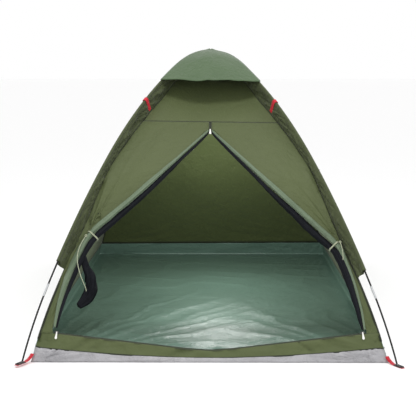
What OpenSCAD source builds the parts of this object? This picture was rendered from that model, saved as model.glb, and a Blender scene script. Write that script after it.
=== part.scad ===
// Two-person dome tent: two crossed fibreglass poles in cloth sleeves carry a single-skin body with a
// bathtub groundsheet and a rolled-back door. Origin at the centre of the footprint on the ground,
// +Z up, the door faces -Y. All sizes are in millimetres.

/* [Floor] */
// Width of the groundsheet across the door
floor_w = 1200; // [1150:10:1250]
// Length of the groundsheet from door to back
floor_l = 2000; // [1950:10:2050]
// Height of the groundsheet's upturned wall
tub_h = 70; // [60:5:80]
// Thickness that stands for the cloth
cloth = 2; // [1.5:0.5:3]

/* [Poles] */
// Height of the middle line between the two crossed poles at the top
apex_h = 1047; // [1040:1:1055]
// Outside diameter of the fibreglass tube
pole_d = 6; // [5.5:0.1:6.5]
// Bore of the fibreglass tube
pole_bore = 3; // [2.8:0.1:3.2]
// Distance between the axes of the two poles where they cross
pole_gap = 7.5; // [7.4:0.1:7.8]
// Length of one joining ferrule
ferrule_len = 46; // [40:1:70]
// Outside diameter of a joining ferrule
ferrule_d = 7.2; // [7:0.1:7.4]

/* [Sleeves] */
// Width of a pole sleeve, from the pole's axis to the body seam
sleeve_w = 45; // [40:1:50]
// Distance along the pole from the top to the lower end of a sleeve
sleeve_end = 1290; // [1250:10:1320]

/* [Rain cap] */
// Distance along the pole from the top to a corner of the rain cap
cap_reach = 400; // [360:10:430]
// How far the cap's brim bows out at its middle
cap_bow = 52; // [40:1:65]

/* [Door] */
// Height of the seam above the door
door_seam_s = 590; // [570:5:610]
// Height of the top corner of the opening
door_top_z = 742; // [735:1:750]
// Height where the left flap is tied back
tie_z = 398; // [380:1:410]
// Height where the right flap is tied back
right_tie_z = 372; // [360:1:390]
// Half width of the opening at the foot
door_foot_x = 530; // [520:1:540]
// Height of the foot zip at its outer end
foot_zip_z = 89; // [84:1:92]
// Height of the foot zip at the middle of the door
foot_zip_mid_z = 36; // [30:1:45]
// Length of a zip puller
pull_len = 24; // [18:1:30]

/* [Corners] */
// Width of the corner webbing
web_w = 15; // [12:1:20]
// Diameter of the steel pin that stands in the pole's end
pin_d = 2.4; // [2:0.1:2.5]
// Radius of the hole for a ground peg
peg_r = 4; // [3.5:0.5:4.5]

/* [Hidden] */
$fn = 48;

// ---- Line of one pole half, from the top down: arcs that follow each other without a kink ----
ARC_LEN = [280, 560, 560, 254];
ARC_BEND = [26.8, 18.2, 9.4, 10.8];
ARCS = len(ARC_LEN);
function arc_from(i) = i == 0 ? 0 : arc_from(i - 1) + ARC_LEN[i - 1];
function turn_from(i) = i == 0 ? 0 : turn_from(i - 1) + ARC_BEND[i - 1];
function arc_radius(i) = ARC_LEN[i] * 180 / (PI * ARC_BEND[i]);
function around(a) = [sin(a), cos(a)];
function arc_centre(i) = i == 0
  ? [0, apex_h - arc_radius(0)]
  : arc_centre(i - 1) + (arc_radius(i - 1) - arc_radius(i)) * around(turn_from(i));
function arc_of(s) = s < arc_from(1) ? 0 : s < arc_from(2) ? 1 : s < arc_from(3) ? 2 : 3;
function turn_on(i, s) = turn_from(i) + (s - arc_from(i)) / ARC_LEN[i] * ARC_BEND[i];
function turn_at(s) = turn_on(arc_of(s), s);
// [distance from the middle, height] of a point that lies inset inside the pole's line
function line_point(s, inset) = arc_centre(arc_of(s))
  + (arc_radius(arc_of(s)) - inset) * around(turn_at(s));
pole_len = arc_from(ARCS - 1) + ARC_LEN[ARCS - 1];

// ---- Legs: front left, front right, rear right, rear left ----
LEGS = [[-1, -1], [1, -1], [1, 1], [-1, 1]];
half_diagonal = norm([floor_w, floor_l]) / 2;
leg_angle = atan2(floor_l, floor_w);
function leg_dir(leg) = [leg[0] * floor_w, leg[1] * floor_l, 0] / 2 / half_diagonal;
// pole a stands front left to rear right and lies over pole b, so its legs sit a little higher
function leg_lift(leg) = leg[0] * leg[1] * pole_gap / 2;
function leg_point(leg, s, inset) =
  let (p = line_point(s, inset)) leg_dir(leg) * p[0] + [0, 0, p[1] + leg_lift(leg)];
function azimuth(leg) = atan2(leg[1] * floor_l, leg[0] * floor_w);

// ---- Heights along the body seam ----
function seam_z(s) = line_point(s, sleeve_w)[1];
// distance along the pole at which the body seam has the height z, by halving
function seam_s(z, lo = 0, hi = pole_len, n = 24) = n == 0
  ? (lo + hi) / 2
  : let (mid = (lo + hi) / 2) seam_z(mid) > z ? seam_s(z, mid, hi, n - 1) : seam_s(z, lo, mid, n - 1);
function seam_at(leg, z) = leg_point(leg, seam_s(z), sleeve_w);
mesh_s = arc_from(1);
tub_s = seam_s(tub_h);
foot_s = seam_s(foot_zip_z);

// ---- Cloth between two legs: rows run level, and the middle can belly out or in ----
function bump(s, s0, s1) = sin(180 * (s - s0) / (s1 - s0));
function cloth_point(a, b, s, t, inset, belly) =
  let (out = leg_dir(a) + leg_dir(b))
  leg_point(a, s, inset) * (1 - t) + leg_point(b, s, inset) * t
  + out / norm(out) * belly * 4 * t * (1 - t);
function flat(lists) = [for (l = lists) for (p = l) p];

// A closed sheet between two grids of points with the same rows and columns
module sheet(outer, inner) {
  n = len(outer);
  m = len(outer[0]);
  k = n * m;
  cells = [for (i = [0:n - 2]) for (j = [0:m - 2]) i * m + j];
  rim = concat(
    [for (j = [0:m - 2]) [j, j + 1]],
    [for (i = [0:n - 2]) [i * m + m - 1, (i + 1) * m + m - 1]],
    [for (j = [m - 1:-1:1]) [(n - 1) * m + j, (n - 1) * m + j - 1]],
    [for (i = [n - 1:-1:1]) [i * m, (i - 1) * m]]
  );
  polyhedron(concat(flat(outer), flat(inner)), concat(
    [for (c = cells) [c, c + 1, c + m]],
    [for (c = cells) [c + 1, c + m + 1, c + m]],
    [for (c = cells) [k + c, k + c + m, k + c + 1]],
    [for (c = cells) [k + c + 1, k + c + m, k + c + m + 1]],
    [for (e = rim) [e[1], e[0], k + e[0]]],
    [for (e = rim) [e[1], k + e[0], k + e[1]]]
  ));
}

// A closed dome between two stacks of rings; the first ring of each stack is one top point
module dome(outer, inner) {
  n = len(outer);
  m = len(outer[0]);
  k = n * m;
  ring = [for (i = [1:n - 2]) for (j = [0:m - 1]) [i * m + j, i * m + (j + 1) % m]];
  first = [for (j = [0:m - 1]) [m + j, m + (j + 1) % m]];
  last = [for (j = [0:m - 1]) [(n - 1) * m + j, (n - 1) * m + (j + 1) % m]];
  polyhedron(concat(flat(outer), flat(inner)), concat(
    [for (e = first) [0, e[1], e[0]]],
    [for (e = first) [k, k + e[0], k + e[1]]],
    [for (e = ring) [e[0], e[1], e[1] + m]],
    [for (e = ring) [e[0], e[1] + m, e[0] + m]],
    [for (e = ring) [k + e[0], k + e[1] + m, k + e[1]]],
    [for (e = ring) [k + e[0], k + e[0] + m, k + e[1] + m]],
    [for (e = last) [e[0], e[1], k + e[1]]],
    [for (e = last) [e[0], k + e[1], k + e[0]]]
  ));
}

// A tube or cord: rings of points around a list of centres, with closed ends
module tube(centres, radii, sides = 8) {
  n = len(centres);
  rings = [for (i = [0:n - 1])
    let (
      ahead = centres[min(i + 1, n - 1)] - centres[max(i - 1, 0)],
      d = ahead / norm(ahead),
      u0 = cross(d, [0, 1, 0.3]),
      u = u0 / norm(u0),
      v = cross(d, u)
    )
    [for (j = [0:sides - 1])
      centres[i] + radii[i] * (u * cos(360 * j / sides) + v * sin(360 * j / sides))]
  ];
  side = [for (i = [0:n - 2]) for (j = [0:sides - 1]) [i * sides + j, i * sides + (j + 1) % sides]];
  polyhedron(flat(rings), concat(
    [for (e = side) [e[0], e[1] + sides, e[1]]],
    [for (e = side) [e[0], e[0] + sides, e[1] + sides]],
    [[for (j = [0:sides - 1]) j]],
    [[for (j = [sides - 1:-1:0]) (n - 1) * sides + j]]
  ));
}

function spread(from, to, n) = [for (i = [0:n]) from + (to - from) * i / n];

// ---- Body cloth ----
hem = 3;
wall_rows = spread(mesh_s, tub_s - hem, 10);
wall_columns = spread(0, 1, 6);
module wall(a, b, belly) {
  grids = [for (depth = [0, cloth])
    [for (s = wall_rows) [for (t = wall_columns)
      cloth_point(a, b, s, t, sleeve_w + depth, -belly * bump(s, mesh_s, tub_s))]]
  ];
  sheet(grids[0], grids[1]);
}
module left_wall() {
  color("darkolivegreen") wall(LEGS[3], LEGS[0], 55);
}
module right_wall() {
  color("darkolivegreen") wall(LEGS[1], LEGS[2], 55);
}
module rear_wall() {
  color("darkolivegreen") wall(LEGS[2], LEGS[3], 45);
}
module front_top_panel() {
  grids = [for (depth = [0, cloth])
    [for (s = spread(mesh_s, door_seam_s, 4)) [for (t = wall_columns)
      cloth_point(LEGS[0], LEGS[1], s, t, sleeve_w + depth, -8 * bump(s, mesh_s, door_seam_s))]]
  ];
  color("darkolivegreen") sheet(grids[0], grids[1]);
}

// Distance from the middle to the door's edge at a height on the front; side is -1 left, 1 right.
// Below their ties the flaps are pulled out towards the corner seams.
PULL_OUT = [28, 18];
TIE_INSET = [22, 12];
TIE_HEIGHT = [tie_z, right_tie_z];
function which(side) = side < 0 ? 0 : 1;
function tie_height(side) = TIE_HEIGHT[which(side)];
function tie_x(side) = -seam_at(LEGS[0], tie_height(side))[0] - TIE_INSET[which(side)];
zip_slot = 5;
door_top_x = 22;
function above_tie_x(z, side) =
  door_top_x + (tie_x(side) - door_top_x) * (door_top_z - z) / (door_top_z - tie_height(side));
function below_tie_x(z, side) =
  let (fall = (tie_height(side) - z) / (tie_height(side) - foot_zip_z))
  tie_x(side) + (door_foot_x - tie_x(side)) * fall
    + (fall < 1 ? PULL_OUT[which(side)] * pow(sin(180 * fall), 0.6) : 0);
function opening_x(z, side) = z > door_top_z + 8
  ? zip_slot
  : z > tie_height(side) ? above_tie_x(z, side) : below_tie_x(z, side);
// where the opening's edge lies between the two front legs
function edge_t(s, side) =
  let (half = leg_point(LEGS[1], s, sleeve_w)[0]) 0.5 - opening_x(seam_z(s), side) / half / 2;
function flank_rows(side) =
  let (tie_s = seam_s(tie_height(side)))
  concat(
    [door_seam_s, seam_s(door_top_z + 9)],
    spread(seam_s(door_top_z), tie_s, 5),
    [for (i = [1:8]) tie_s + (foot_s - hem - tie_s) * i / 8]
  );
module flank(side) {
  grids = [for (depth = [0, cloth])
    [for (s = flank_rows(side))
      let (e = edge_t(s, side), from = side < 0 ? 0 : 1 - e)
      [for (i = [0:2]) cloth_point(LEGS[0], LEGS[1], s, from + e * i / 2, sleeve_w + depth, 0)]]
  ];
  color("darkolivegreen") sheet(grids[0], grids[1]);
}
module front_left_panel() {
  flank(-1);
}
module front_right_panel() {
  flank(1);
}

// ---- Foot of the door: the zip falls straight from each side to a soft point in the middle ----
FOOT_X = [530, 420, 310, 200, 80, 0];
zip_turn_x = FOOT_X[4];
zip_turn_z = foot_zip_mid_z + 5;
zip_fall = (foot_zip_z - zip_turn_z) / (door_foot_x - zip_turn_x);
function foot_z(x) = x > zip_turn_x
  ? zip_turn_z + zip_fall * (x - zip_turn_x)
  : foot_zip_mid_z + (zip_turn_z - foot_zip_mid_z) * x / zip_turn_x;
rim_mid_z = 14;
rim_side_z = 46;
function rim_z(x) = rim_mid_z + (rim_side_z - rim_mid_z) * pow(x / (floor_w / 2 - 12), 1.8);
front_lean = (floor_l / 2 + seam_at(LEGS[0], foot_zip_z)[1]) / foot_zip_z;
function front_at(x, z) = [x, -floor_l / 2 + front_lean * z, z];
foot_columns = concat([for (x = FOOT_X) -x], [for (i = [4:-1:0]) FOOT_X[i]]);
rim_columns = [for (x = foot_columns) front_at(x, rim_z(abs(x)))];
tub_corners = [for (leg = LEGS) leg_point(leg, tub_s, sleeve_w)];
module door_threshold() {
  end_in = sleeve_w + cloth + 1.5;
  high = concat([leg_point(LEGS[0], foot_s, end_in)],
    [for (x = foot_columns) front_at(x, foot_z(abs(x)))],
    [leg_point(LEGS[1], foot_s, end_in)]);
  lift = [0, 0, 3];
  low = concat([leg_point(LEGS[0], tub_s, end_in) + lift], rim_columns,
    [leg_point(LEGS[1], tub_s, end_in) + lift]);
  up = [0, 0, 0.4];
  back = [0, cloth, 0];
  color("darkolivegreen") sheet(
    [[for (p = high) p - up], [for (p = low) p + up]],
    [[for (p = high) p - up + back], [for (p = low) p + up + back]]
  );
}
function inward(p, up) = [p[0] * (1 - 2 * cloth / floor_w), p[1] * (1 - 2 * cloth / floor_l), p[2] + up];
module groundsheet() {
  rim = concat([tub_corners[0]], rim_columns, [for (i = [1:3]) tub_corners[i]]);
  foot = concat([[-floor_w / 2, -floor_l / 2, 0]],
    [for (x = foot_columns) [x * 1.02, -floor_l / 2, 0]],
    [for (i = [1:3]) [LEGS[i][0] * floor_w / 2, LEGS[i][1] * floor_l / 2, 0]]);
  n = len(rim);
  edges = [for (i = [0:n - 1]) [i, (i + 1) % n]];
  color("silver") polyhedron(
    concat(rim, foot, [for (p = foot) inward(p, cloth)], [for (p = rim) inward(p, 0)]),
    concat(
      [for (e = edges) [e[0], e[1], n + e[1]]],
      [for (e = edges) [e[0], n + e[1], n + e[0]]],
      [for (i = [0:n - 3]) [2 * n - 1, n + i, n + i + 1]],
      [for (i = [0:n - 3]) [3 * n - 1, 2 * n + i + 1, 2 * n + i]],
      [for (e = edges) [2 * n + e[0], 2 * n + e[1], 3 * n + e[1]]],
      [for (e = edges) [2 * n + e[0], 3 * n + e[1], 3 * n + e[0]]],
      [for (e = edges) [3 * n + e[0], 3 * n + e[1], e[1]]],
      [for (e = edges) [3 * n + e[0], e[1], e[0]]]
    )
  );
}

// ---- Roof vent and rain cap: the cap's brim bows out at front and rear, hardly at the sides ----
cap_side_share = 0.12;
function dome_ring(s, inset, belly) = s == 0
  ? [for (i = [0:23]) [0, 0, apex_h - inset]]
  : [for (i = [0:3]) for (j = [0:5])
      cloth_point(LEGS[i], LEGS[(i + 1) % 4], s, j / 6, inset, belly * (i % 2 == 0 ? 1 : cap_side_share))];
module roof_mesh() {
  rows = [0, 70, 140, 210, mesh_s - 0.5];
  color("dimgray") dome(
    [for (s = rows) dome_ring(s, sleeve_w, 0)],
    [for (s = rows) dome_ring(s, sleeve_w + cloth, 0)]
  );
}
cap_clear = 9.5;
module rain_cap() {
  rows = [0, 60, 130, 200, 270, 335, cap_reach];
  color("seagreen") dome(
    [for (s = rows) dome_ring(s, -cap_clear - cloth, cap_bow * pow(s / cap_reach, 2))],
    [for (s = rows) dome_ring(s, -cap_clear, cap_bow * pow(s / cap_reach, 2))]
  );
}

// ---- Sweeps along a pole: a flat outline goes round each arc's centre ----
// Outline axes: x points away from the tent, y lies across the pole's plane.
module along(i, s0, s1) {
  c = arc_centre(i);
  a0 = turn_on(i, s0);
  translate([c[0], 0, c[1]])
    rotate([0, -90, -90])
      rotate([0, 0, a0])
        rotate_extrude(angle = turn_on(i, s1) - a0, $fn = 180)
          translate([arc_radius(i), 0])
            children();
}
// Turns what is drawn in the upright plane through the X axis into a leg's own plane
module on_leg(leg) {
  translate([0, 0, leg_lift(leg)]) rotate([0, 0, azimuth(leg)]) children();
}
sleeve_d = 12;
sleeve_bore = 9;
module sleeve_shape(grow) {
  r = sleeve_d / 2 + grow;
  tip = 0.5 - sleeve_w;
  circle(r = r);
  polygon([[0, r], [tip, 1.2 + grow], [tip, -1.2 - grow], [0, -r]]);
}
module sleeve_outline() {
  difference() {
    sleeve_shape(0);
    circle(d = sleeve_bore);
  }
}
module sleeve(leg) {
  starts = [70, arc_from(1), arc_from(2)];
  ends = [arc_from(1), arc_from(2), sleeve_end];
  color("olivedrab") on_leg(leg)
    for (i = [0:2])
      along(i, starts[i], ends[i]) sleeve_outline();
}
module sleeve_front_left() { sleeve(LEGS[0]); }
module sleeve_front_right() { sleeve(LEGS[1]); }
module sleeve_rear_right() { sleeve(LEGS[2]); }
module sleeve_rear_left() { sleeve(LEGS[3]); }

// ---- Poles: each has a front leg and a rear leg ----
function pole_legs(p) = [LEGS[p], LEGS[p + 2]];
module tube_outline(d_out, d_in) {
  difference() {
    circle(d = d_out, $fn = 24);
    circle(d = d_in, $fn = 24);
  }
}
// Sections 1 to 7 run from the front foot to the rear foot; section 4 spans the top
module pole_section(p, k) {
  color("#1b1b1d")
    if (k == 4) {
      on_leg(pole_legs(p)[1]) along(0, -ARC_LEN[0], ARC_LEN[0]) tube_outline(pole_d, pole_bore);
    } else {
      i = k < 4 ? 4 - k : k - 4;
      on_leg(pole_legs(p)[k < 4 ? 0 : 1])
        along(i, arc_from(i) + 0.1, arc_from(i) + ARC_LEN[i]) tube_outline(pole_d, pole_bore);
    }
}
module pole_a_section_1() { pole_section(0, 1); }
module pole_a_section_2() { pole_section(0, 2); }
module pole_a_section_3() { pole_section(0, 3); }
module pole_a_section_4() { pole_section(0, 4); }
module pole_a_section_5() { pole_section(0, 5); }
module pole_a_section_6() { pole_section(0, 6); }
module pole_a_section_7() { pole_section(0, 7); }
module pole_b_section_1() { pole_section(1, 1); }
module pole_b_section_2() { pole_section(1, 2); }
module pole_b_section_3() { pole_section(1, 3); }
module pole_b_section_4() { pole_section(1, 4); }
module pole_b_section_5() { pole_section(1, 5); }
module pole_b_section_6() { pole_section(1, 6); }
module pole_b_section_7() { pole_section(1, 7); }
ferrule_bore = pole_d + 0.1;
module ferrules(p) {
  color("lightgray")
    for (leg = pole_legs(p), i = [1:ARCS - 1])
      on_leg(leg) {
        along(i - 1, arc_from(i) - ferrule_len / 2, arc_from(i) - 0.1) tube_outline(ferrule_d, ferrule_bore);
        along(i, arc_from(i), arc_from(i) + ferrule_len / 2) tube_outline(ferrule_d, ferrule_bore);
      }
}
module pole_a_ferrules() { ferrules(0); }
module pole_b_ferrules() { ferrules(1); }
cord_stop = 40;
module shock_cord(p) {
  color("white")
    for (leg = pole_legs(p))
      on_leg(leg)
        for (i = [0:ARCS - 1])
          along(i, arc_from(i), arc_from(i) + ARC_LEN[i] - (i == ARCS - 1 ? cord_stop : 0))
            circle(d = 2);
}
module pole_a_shock_cord() { shock_cord(0); }
module pole_b_shock_cord() { shock_cord(1); }

// ---- Corners: webbing from the groundsheet, a plate with a pin for the pole and a peg hole ----
foot_turn = turn_from(ARCS - 1) + ARC_BEND[ARCS - 1];
foot_point = line_point(pole_len, 0);
plate_z = 6;
plate_h = 2.5;
plate_w = 18;
plate_from = foot_point[0] - 8;
peg_at = foot_point[0] + 21;
web_t = 1.6;
web_from = half_diagonal + 0.6;
web_to = peg_at + plate_w / 2 + 8;
module plate_one() {
  difference() {
    union() {
      translate([plate_from, -plate_w / 2, plate_z]) cube([peg_at - plate_from, plate_w, plate_h]);
      translate([peg_at, 0, plate_z]) cylinder(d = plate_w, h = plate_h);
    }
    translate([peg_at, 0, plate_z - 1]) cylinder(r = peg_r, h = plate_h + 2);
  }
}
module corner_plates() {
  color("#161616") for (leg = LEGS) on_leg(leg) plate_one();
}
// the strap falls from the groundsheet's corner, runs under the plate and ends in a folded tip
module web_one() {
  under = plate_z - 0.2;
  lay = under - web_t;
  difference() {
    rotate([90, 0, 0]) linear_extrude(height = web_w, center = true)
      polygon([
        [web_from, 14], [plate_from - 4, under], [web_to - 8, under], [web_to - 8, under + 4],
        [web_to, under + 4], [web_to, lay], [plate_from - 5, lay], [web_from, 14 - 2 * web_t]
      ]);
    translate([peg_at, 0, lay - 1]) cylinder(r = peg_r + 1, h = web_t + 2);
  }
}
module corner_webbing() {
  color("crimson") for (leg = LEGS) on_leg(leg) web_one();
}
// a steel pin that leans like the pole's end; its foot is pressed into the plate
pin_in = 22;
pin_foot = 0.8;
module pin_one() {
  reach = (foot_point[1] - plate_z - pin_foot) / sin(foot_turn);
  translate([foot_point[0], 0, foot_point[1]])
    rotate([0, 90 + foot_turn, 0])
      translate([0, 0, -pin_in])
        cylinder(d = pin_d, h = pin_in + reach);
}
module corner_pins() {
  color("gainsboro") for (leg = LEGS) on_leg(leg) pin_one();
}

// ---- Guy loops: a strap over each sleeve that a guy line can be tied to ----
guy_s = 520;
module guy_loops() {
  color("crimson") for (leg = LEGS) on_leg(leg)
    along(1, guy_s, guy_s + web_w)
      difference() {
        sleeve_shape(4.6);
        sleeve_shape(3);
        translate([-60, -30]) square([60 - 28, 60]);
      }
}

// ---- Rolled door: cloth outside and net inside, rolled towards each side and tied back ----
// heights and radii down each roll, left then right
ROLL_Z = [[734, 640, 540, 450, tie_z, 340, 250, 170, 106],
  [734, 640, 540, 450, right_tie_z, 325, 250, 170, 106]];
CLOTH_R = [[4, 6.5, 9, 10.5, 11, 12, 10, 7, 3.5],
  [4, 6.5, 9, 10.5, 10, 6, 5, 4, 3]];
NET_R = [[4, 6.5, 9.5, 12, 12.5, 9, 7, 5, 3],
  [4, 6.5, 9.5, 12, 12.5, 11.5, 10.5, 8, 3]];
tie_i = 4;
roll_gap = 7.5;
roll_apart = 1.5;
function front_edge(side, z) =
  let (s = seam_s(z), e = edge_t(s, side))
  cloth_point(LEGS[0], LEGS[1], s, side < 0 ? e : 1 - e, sleeve_w, 0);
function cloth_roll_at(side, i) =
  let (w = which(side))
  front_edge(side, ROLL_Z[w][i]) + [-side * (roll_gap + CLOTH_R[w][i]), -3, 0];
roll_n = len(ROLL_Z[0]) - 1;
rolls = [0:roll_n];
function roll_ahead(side, i) =
  unit(cloth_roll_at(side, min(i + 1, roll_n)) - cloth_roll_at(side, max(i - 1, 0)));
// the net lies beside the cloth, towards the middle of the door and into the tent
function net_roll_at(side, i) =
  let (ahead = roll_ahead(side, i), toward = [-side * 20, 11, 0], w = which(side))
  cloth_roll_at(side, i)
    + unit(toward - ahead * (toward * ahead)) * (CLOTH_R[w][i] + NET_R[w][i] + roll_apart);
module door_roll(side) {
  color("#7b8a5c") tube([for (i = rolls) cloth_roll_at(side, i)], CLOTH_R[which(side)], 12);
}
module net_roll(side) {
  color("#22252b") tube([for (i = rolls) net_roll_at(side, i)], NET_R[which(side)], 12);
}
module door_roll_left() { door_roll(-1); }
module door_roll_right() { door_roll(1); }
module net_roll_left() { net_roll(-1); }
module net_roll_right() { net_roll(1); }

// Axes for small parts: x and y are unit vectors, and z stands square to both
module placed(o, x, y) {
  z = cross(x, y);
  multmatrix([[x[0], y[0], z[0], o[0]], [x[1], y[1], z[1], o[1]], [x[2], y[2], z[2], o[2]]]) children();
}
function unit(v) = v / norm(v);

// A band of tape goes once round both rolls where they are tied back
band_w = 6;
band_clear = 2;
band_t = 1;
module tie_band(side) {
  o = cloth_roll_at(side, tie_i);
  along_roll = unit(cloth_roll_at(side, tie_i + 1) - cloth_roll_at(side, tie_i - 1));
  to_net = net_roll_at(side, tie_i) - o;
  square_net = to_net - along_roll * (to_net * along_roll);
  color("#c9c9b4") placed(o, unit(square_net), cross(along_roll, unit(square_net)))
    linear_extrude(height = band_w, center = true)
      difference() {
        band_shape(norm(square_net), band_clear + band_t, side);
        band_shape(norm(square_net), band_clear, side);
      }
}
module band_shape(reach, grow, side) {
  hull() {
    circle(r = CLOTH_R[which(side)][tie_i] + grow);
    translate([reach, 0]) circle(r = NET_R[which(side)][tie_i] + grow);
  }
}
module tie_band_left() { tie_band(-1); }
module tie_band_right() { tie_band(1); }

// ---- Zips: a chain with its tape, sliders that ride on it, and pullers that hinge on the sliders ----
chain_in = 0.9;
chain_out = 2.7;
chain_t = 2;
tape_t = 0.8;
slider_w = 8;
slider_l = 12;
pin_y = -5.4;
// one side of a chain of length l, standing on x > 0 with its tape out to the slot's edge
module chain_half(l) {
  translate([chain_in, -chain_t / 2, 0]) cube([chain_out - chain_in, chain_t, l]);
  translate([chain_out, -tape_t / 2, 0]) cube([zip_slot - chain_out, tape_t, l]);
}
// door zip: local z runs up the front, y points into the tent
function door_line(s) = cloth_point(LEGS[0], LEGS[1], s, 0.5, sleeve_w + cloth / 2, 0);
door_zip_low = door_line(seam_s(door_top_z) - 6);
door_zip_high = door_line(door_seam_s + 1);
door_up = unit(door_zip_high - door_zip_low);
door_in = [0, door_up[2], -door_up[1]];
module door_zip_chain() {
  color("#3a3f2c") placed(door_zip_low, [1, 0, 0], door_in)
    for (side = [0, 1]) mirror([side, 0, 0]) chain_half(norm(door_zip_high - door_zip_low));
}
// foot zips: local x runs along the zip to the right, y into the tent, z up the front
foot_in = unit([0, 1, -front_lean]);
function foot_axis(x) = front_at(x, foot_z(abs(x))) + unit([0, front_lean, 1]) * zip_slot
  + [0, cloth / 2, 0];
module foot_run(x0, x1) {
  a = foot_axis(x0);
  b = foot_axis(x1);
  placed(a, unit(b - a), foot_in) rotate([0, 90, 0]) chain_half(norm(b - a));
}
zip_end_x = door_foot_x - 2;
module foot_zip_chain() {
  color("#2f3326") {
    foot_run(-zip_end_x, -zip_turn_x);
    foot_run(-zip_turn_x, 0);
    foot_run(0, zip_turn_x);
    foot_run(zip_turn_x, zip_end_x);
  }
}
// turn says which way the slider's wedge end points; the puller's pin always runs along local x
module slider(turn) {
  plate_t = 1.5;
  rotate([0, turn, 0]) {
    for (y = [-3, 3 - plate_t])
      translate([-slider_w / 2, y, -slider_l / 2]) cube([slider_w, plate_t, slider_l]);
    translate([-0.5, -2, 2]) cube([1, 4, slider_l / 2 - 2]);
  }
  for (x = [-3.3, 2.3]) {
    translate([x, pin_y, 0]) rotate([0, 90, 0]) cylinder(r = 1.6, h = 1);
    translate([x, pin_y, -1.6]) cube([1, -3 - pin_y + 0.2, 3.2]);
  }
  translate([-3, pin_y, 0]) rotate([0, 90, 0]) cylinder(d = 1.4, h = 6);
}
module pull() {
  barrel = 3.6;
  difference() {
    union() {
      translate([-barrel / 2, pin_y, 0]) rotate([0, 90, 0]) cylinder(r = 1.5, h = barrel);
      translate([0, pin_y + 0.8, 0]) rotate([90, 0, 0]) linear_extrude(height = 1.6)
        polygon([[-1.8, 0], [1.8, 0], [2.4, -8], [4, 4 - pull_len], [-4, 4 - pull_len], [-2.4, -8]]);
      translate([0, pin_y + 0.8, 4 - pull_len]) rotate([90, 0, 0]) cylinder(r = 4, h = 1.6);
    }
    translate([-5, pin_y, 0]) rotate([0, 90, 0]) cylinder(d = 1.8, h = 10);
  }
}
module at_door_zip() {
  placed(door_zip_low + door_up * slider_l / 2, [1, 0, 0], door_in) children();
}
park = 10;
module at_foot_zip(side) {
  x0 = side * zip_turn_x;
  x1 = side * zip_end_x;
  right = side * unit(foot_axis(x1) - foot_axis(x0));
  placed(foot_axis(x1) - side * right * park, right, foot_in) children();
}
module top_zip_slider() {
  color("#3c3c3c") at_door_zip() slider(0);
}
module top_zip_pull() {
  color("#e8e8e0") at_door_zip() pull();
}
module foot_slider(side) {
  color("#3c3c3c") at_foot_zip(side) slider(-90 * side);
}
module foot_pull(side) {
  color("#e8e8e0") at_foot_zip(side) pull();
}
module left_zip_slider() { foot_slider(-1); }
module left_zip_pull() { foot_pull(-1); }
module right_zip_slider() { foot_slider(1); }
module right_zip_pull() { foot_pull(1); }

// ---- Free ends of the tie tapes, from the band down ----
cord_r = 1.25;
LEFT_CORD = [[-436, -790, 398], [-452, -814, 370], [-460, -838, 340], [-458, -856, 310],
  [-446, -872, 270], [-432, -868, 232], [-428, -868, 215]];
RIGHT_CORD = [[456, -807, 379], [461, -824, 360], [463, -836, 341], [463, -843, 322]];
// points along a route at even steps, on a curve that passes through every point of it
function curve(r, i, t) =
  let (n = len(r) - 1, a = r[max(i - 1, 0)], b = r[i], c = r[min(i + 1, n)], d = r[min(i + 2, n)])
  (2 * b + (c - a) * t + (2 * a - 5 * b + 4 * c - d) * t * t
    + (3 * b - a - 3 * c + d) * t * t * t) / 2;
function along_route(r, steps) = concat(
  [for (i = [0:len(r) - 2]) for (j = [0:steps - 1]) curve(r, i, j / steps)], [r[len(r) - 1]]);
module tie_cord(route) {
  path = along_route(route, 5);
  color("#d8d8c6") tube(path, [for (p = path) cord_r], 8);
}
module tie_cord_left() { tie_cord(LEFT_CORD); }
module tie_cord_right() { tie_cord(RIGHT_CORD); }

groundsheet();
front_top_panel();
front_left_panel();
front_right_panel();
door_threshold();
left_wall();
right_wall();
rear_wall();
roof_mesh();
rain_cap();
sleeve_front_left();
sleeve_front_right();
sleeve_rear_right();
sleeve_rear_left();
pole_a_section_1();
pole_a_section_2();
pole_a_section_3();
pole_a_section_4();
pole_a_section_5();
pole_a_section_6();
pole_a_section_7();
pole_b_section_1();
pole_b_section_2();
pole_b_section_3();
pole_b_section_4();
pole_b_section_5();
pole_b_section_6();
pole_b_section_7();
pole_a_ferrules();
pole_b_ferrules();
pole_a_shock_cord();
pole_b_shock_cord();
corner_webbing();
corner_plates();
corner_pins();
guy_loops();
door_roll_left();
door_roll_right();
net_roll_left();
net_roll_right();
tie_band_left();
tie_band_right();
tie_cord_left();
tie_cord_right();
door_zip_chain();
foot_zip_chain();
top_zip_slider();
top_zip_pull();
left_zip_slider();
left_zip_pull();
right_zip_slider();
right_zip_pull();
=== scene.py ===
"""Finishes the small dome tent: its cloth, net, straps, zips, poles and the studio around it."""

import math

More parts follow.
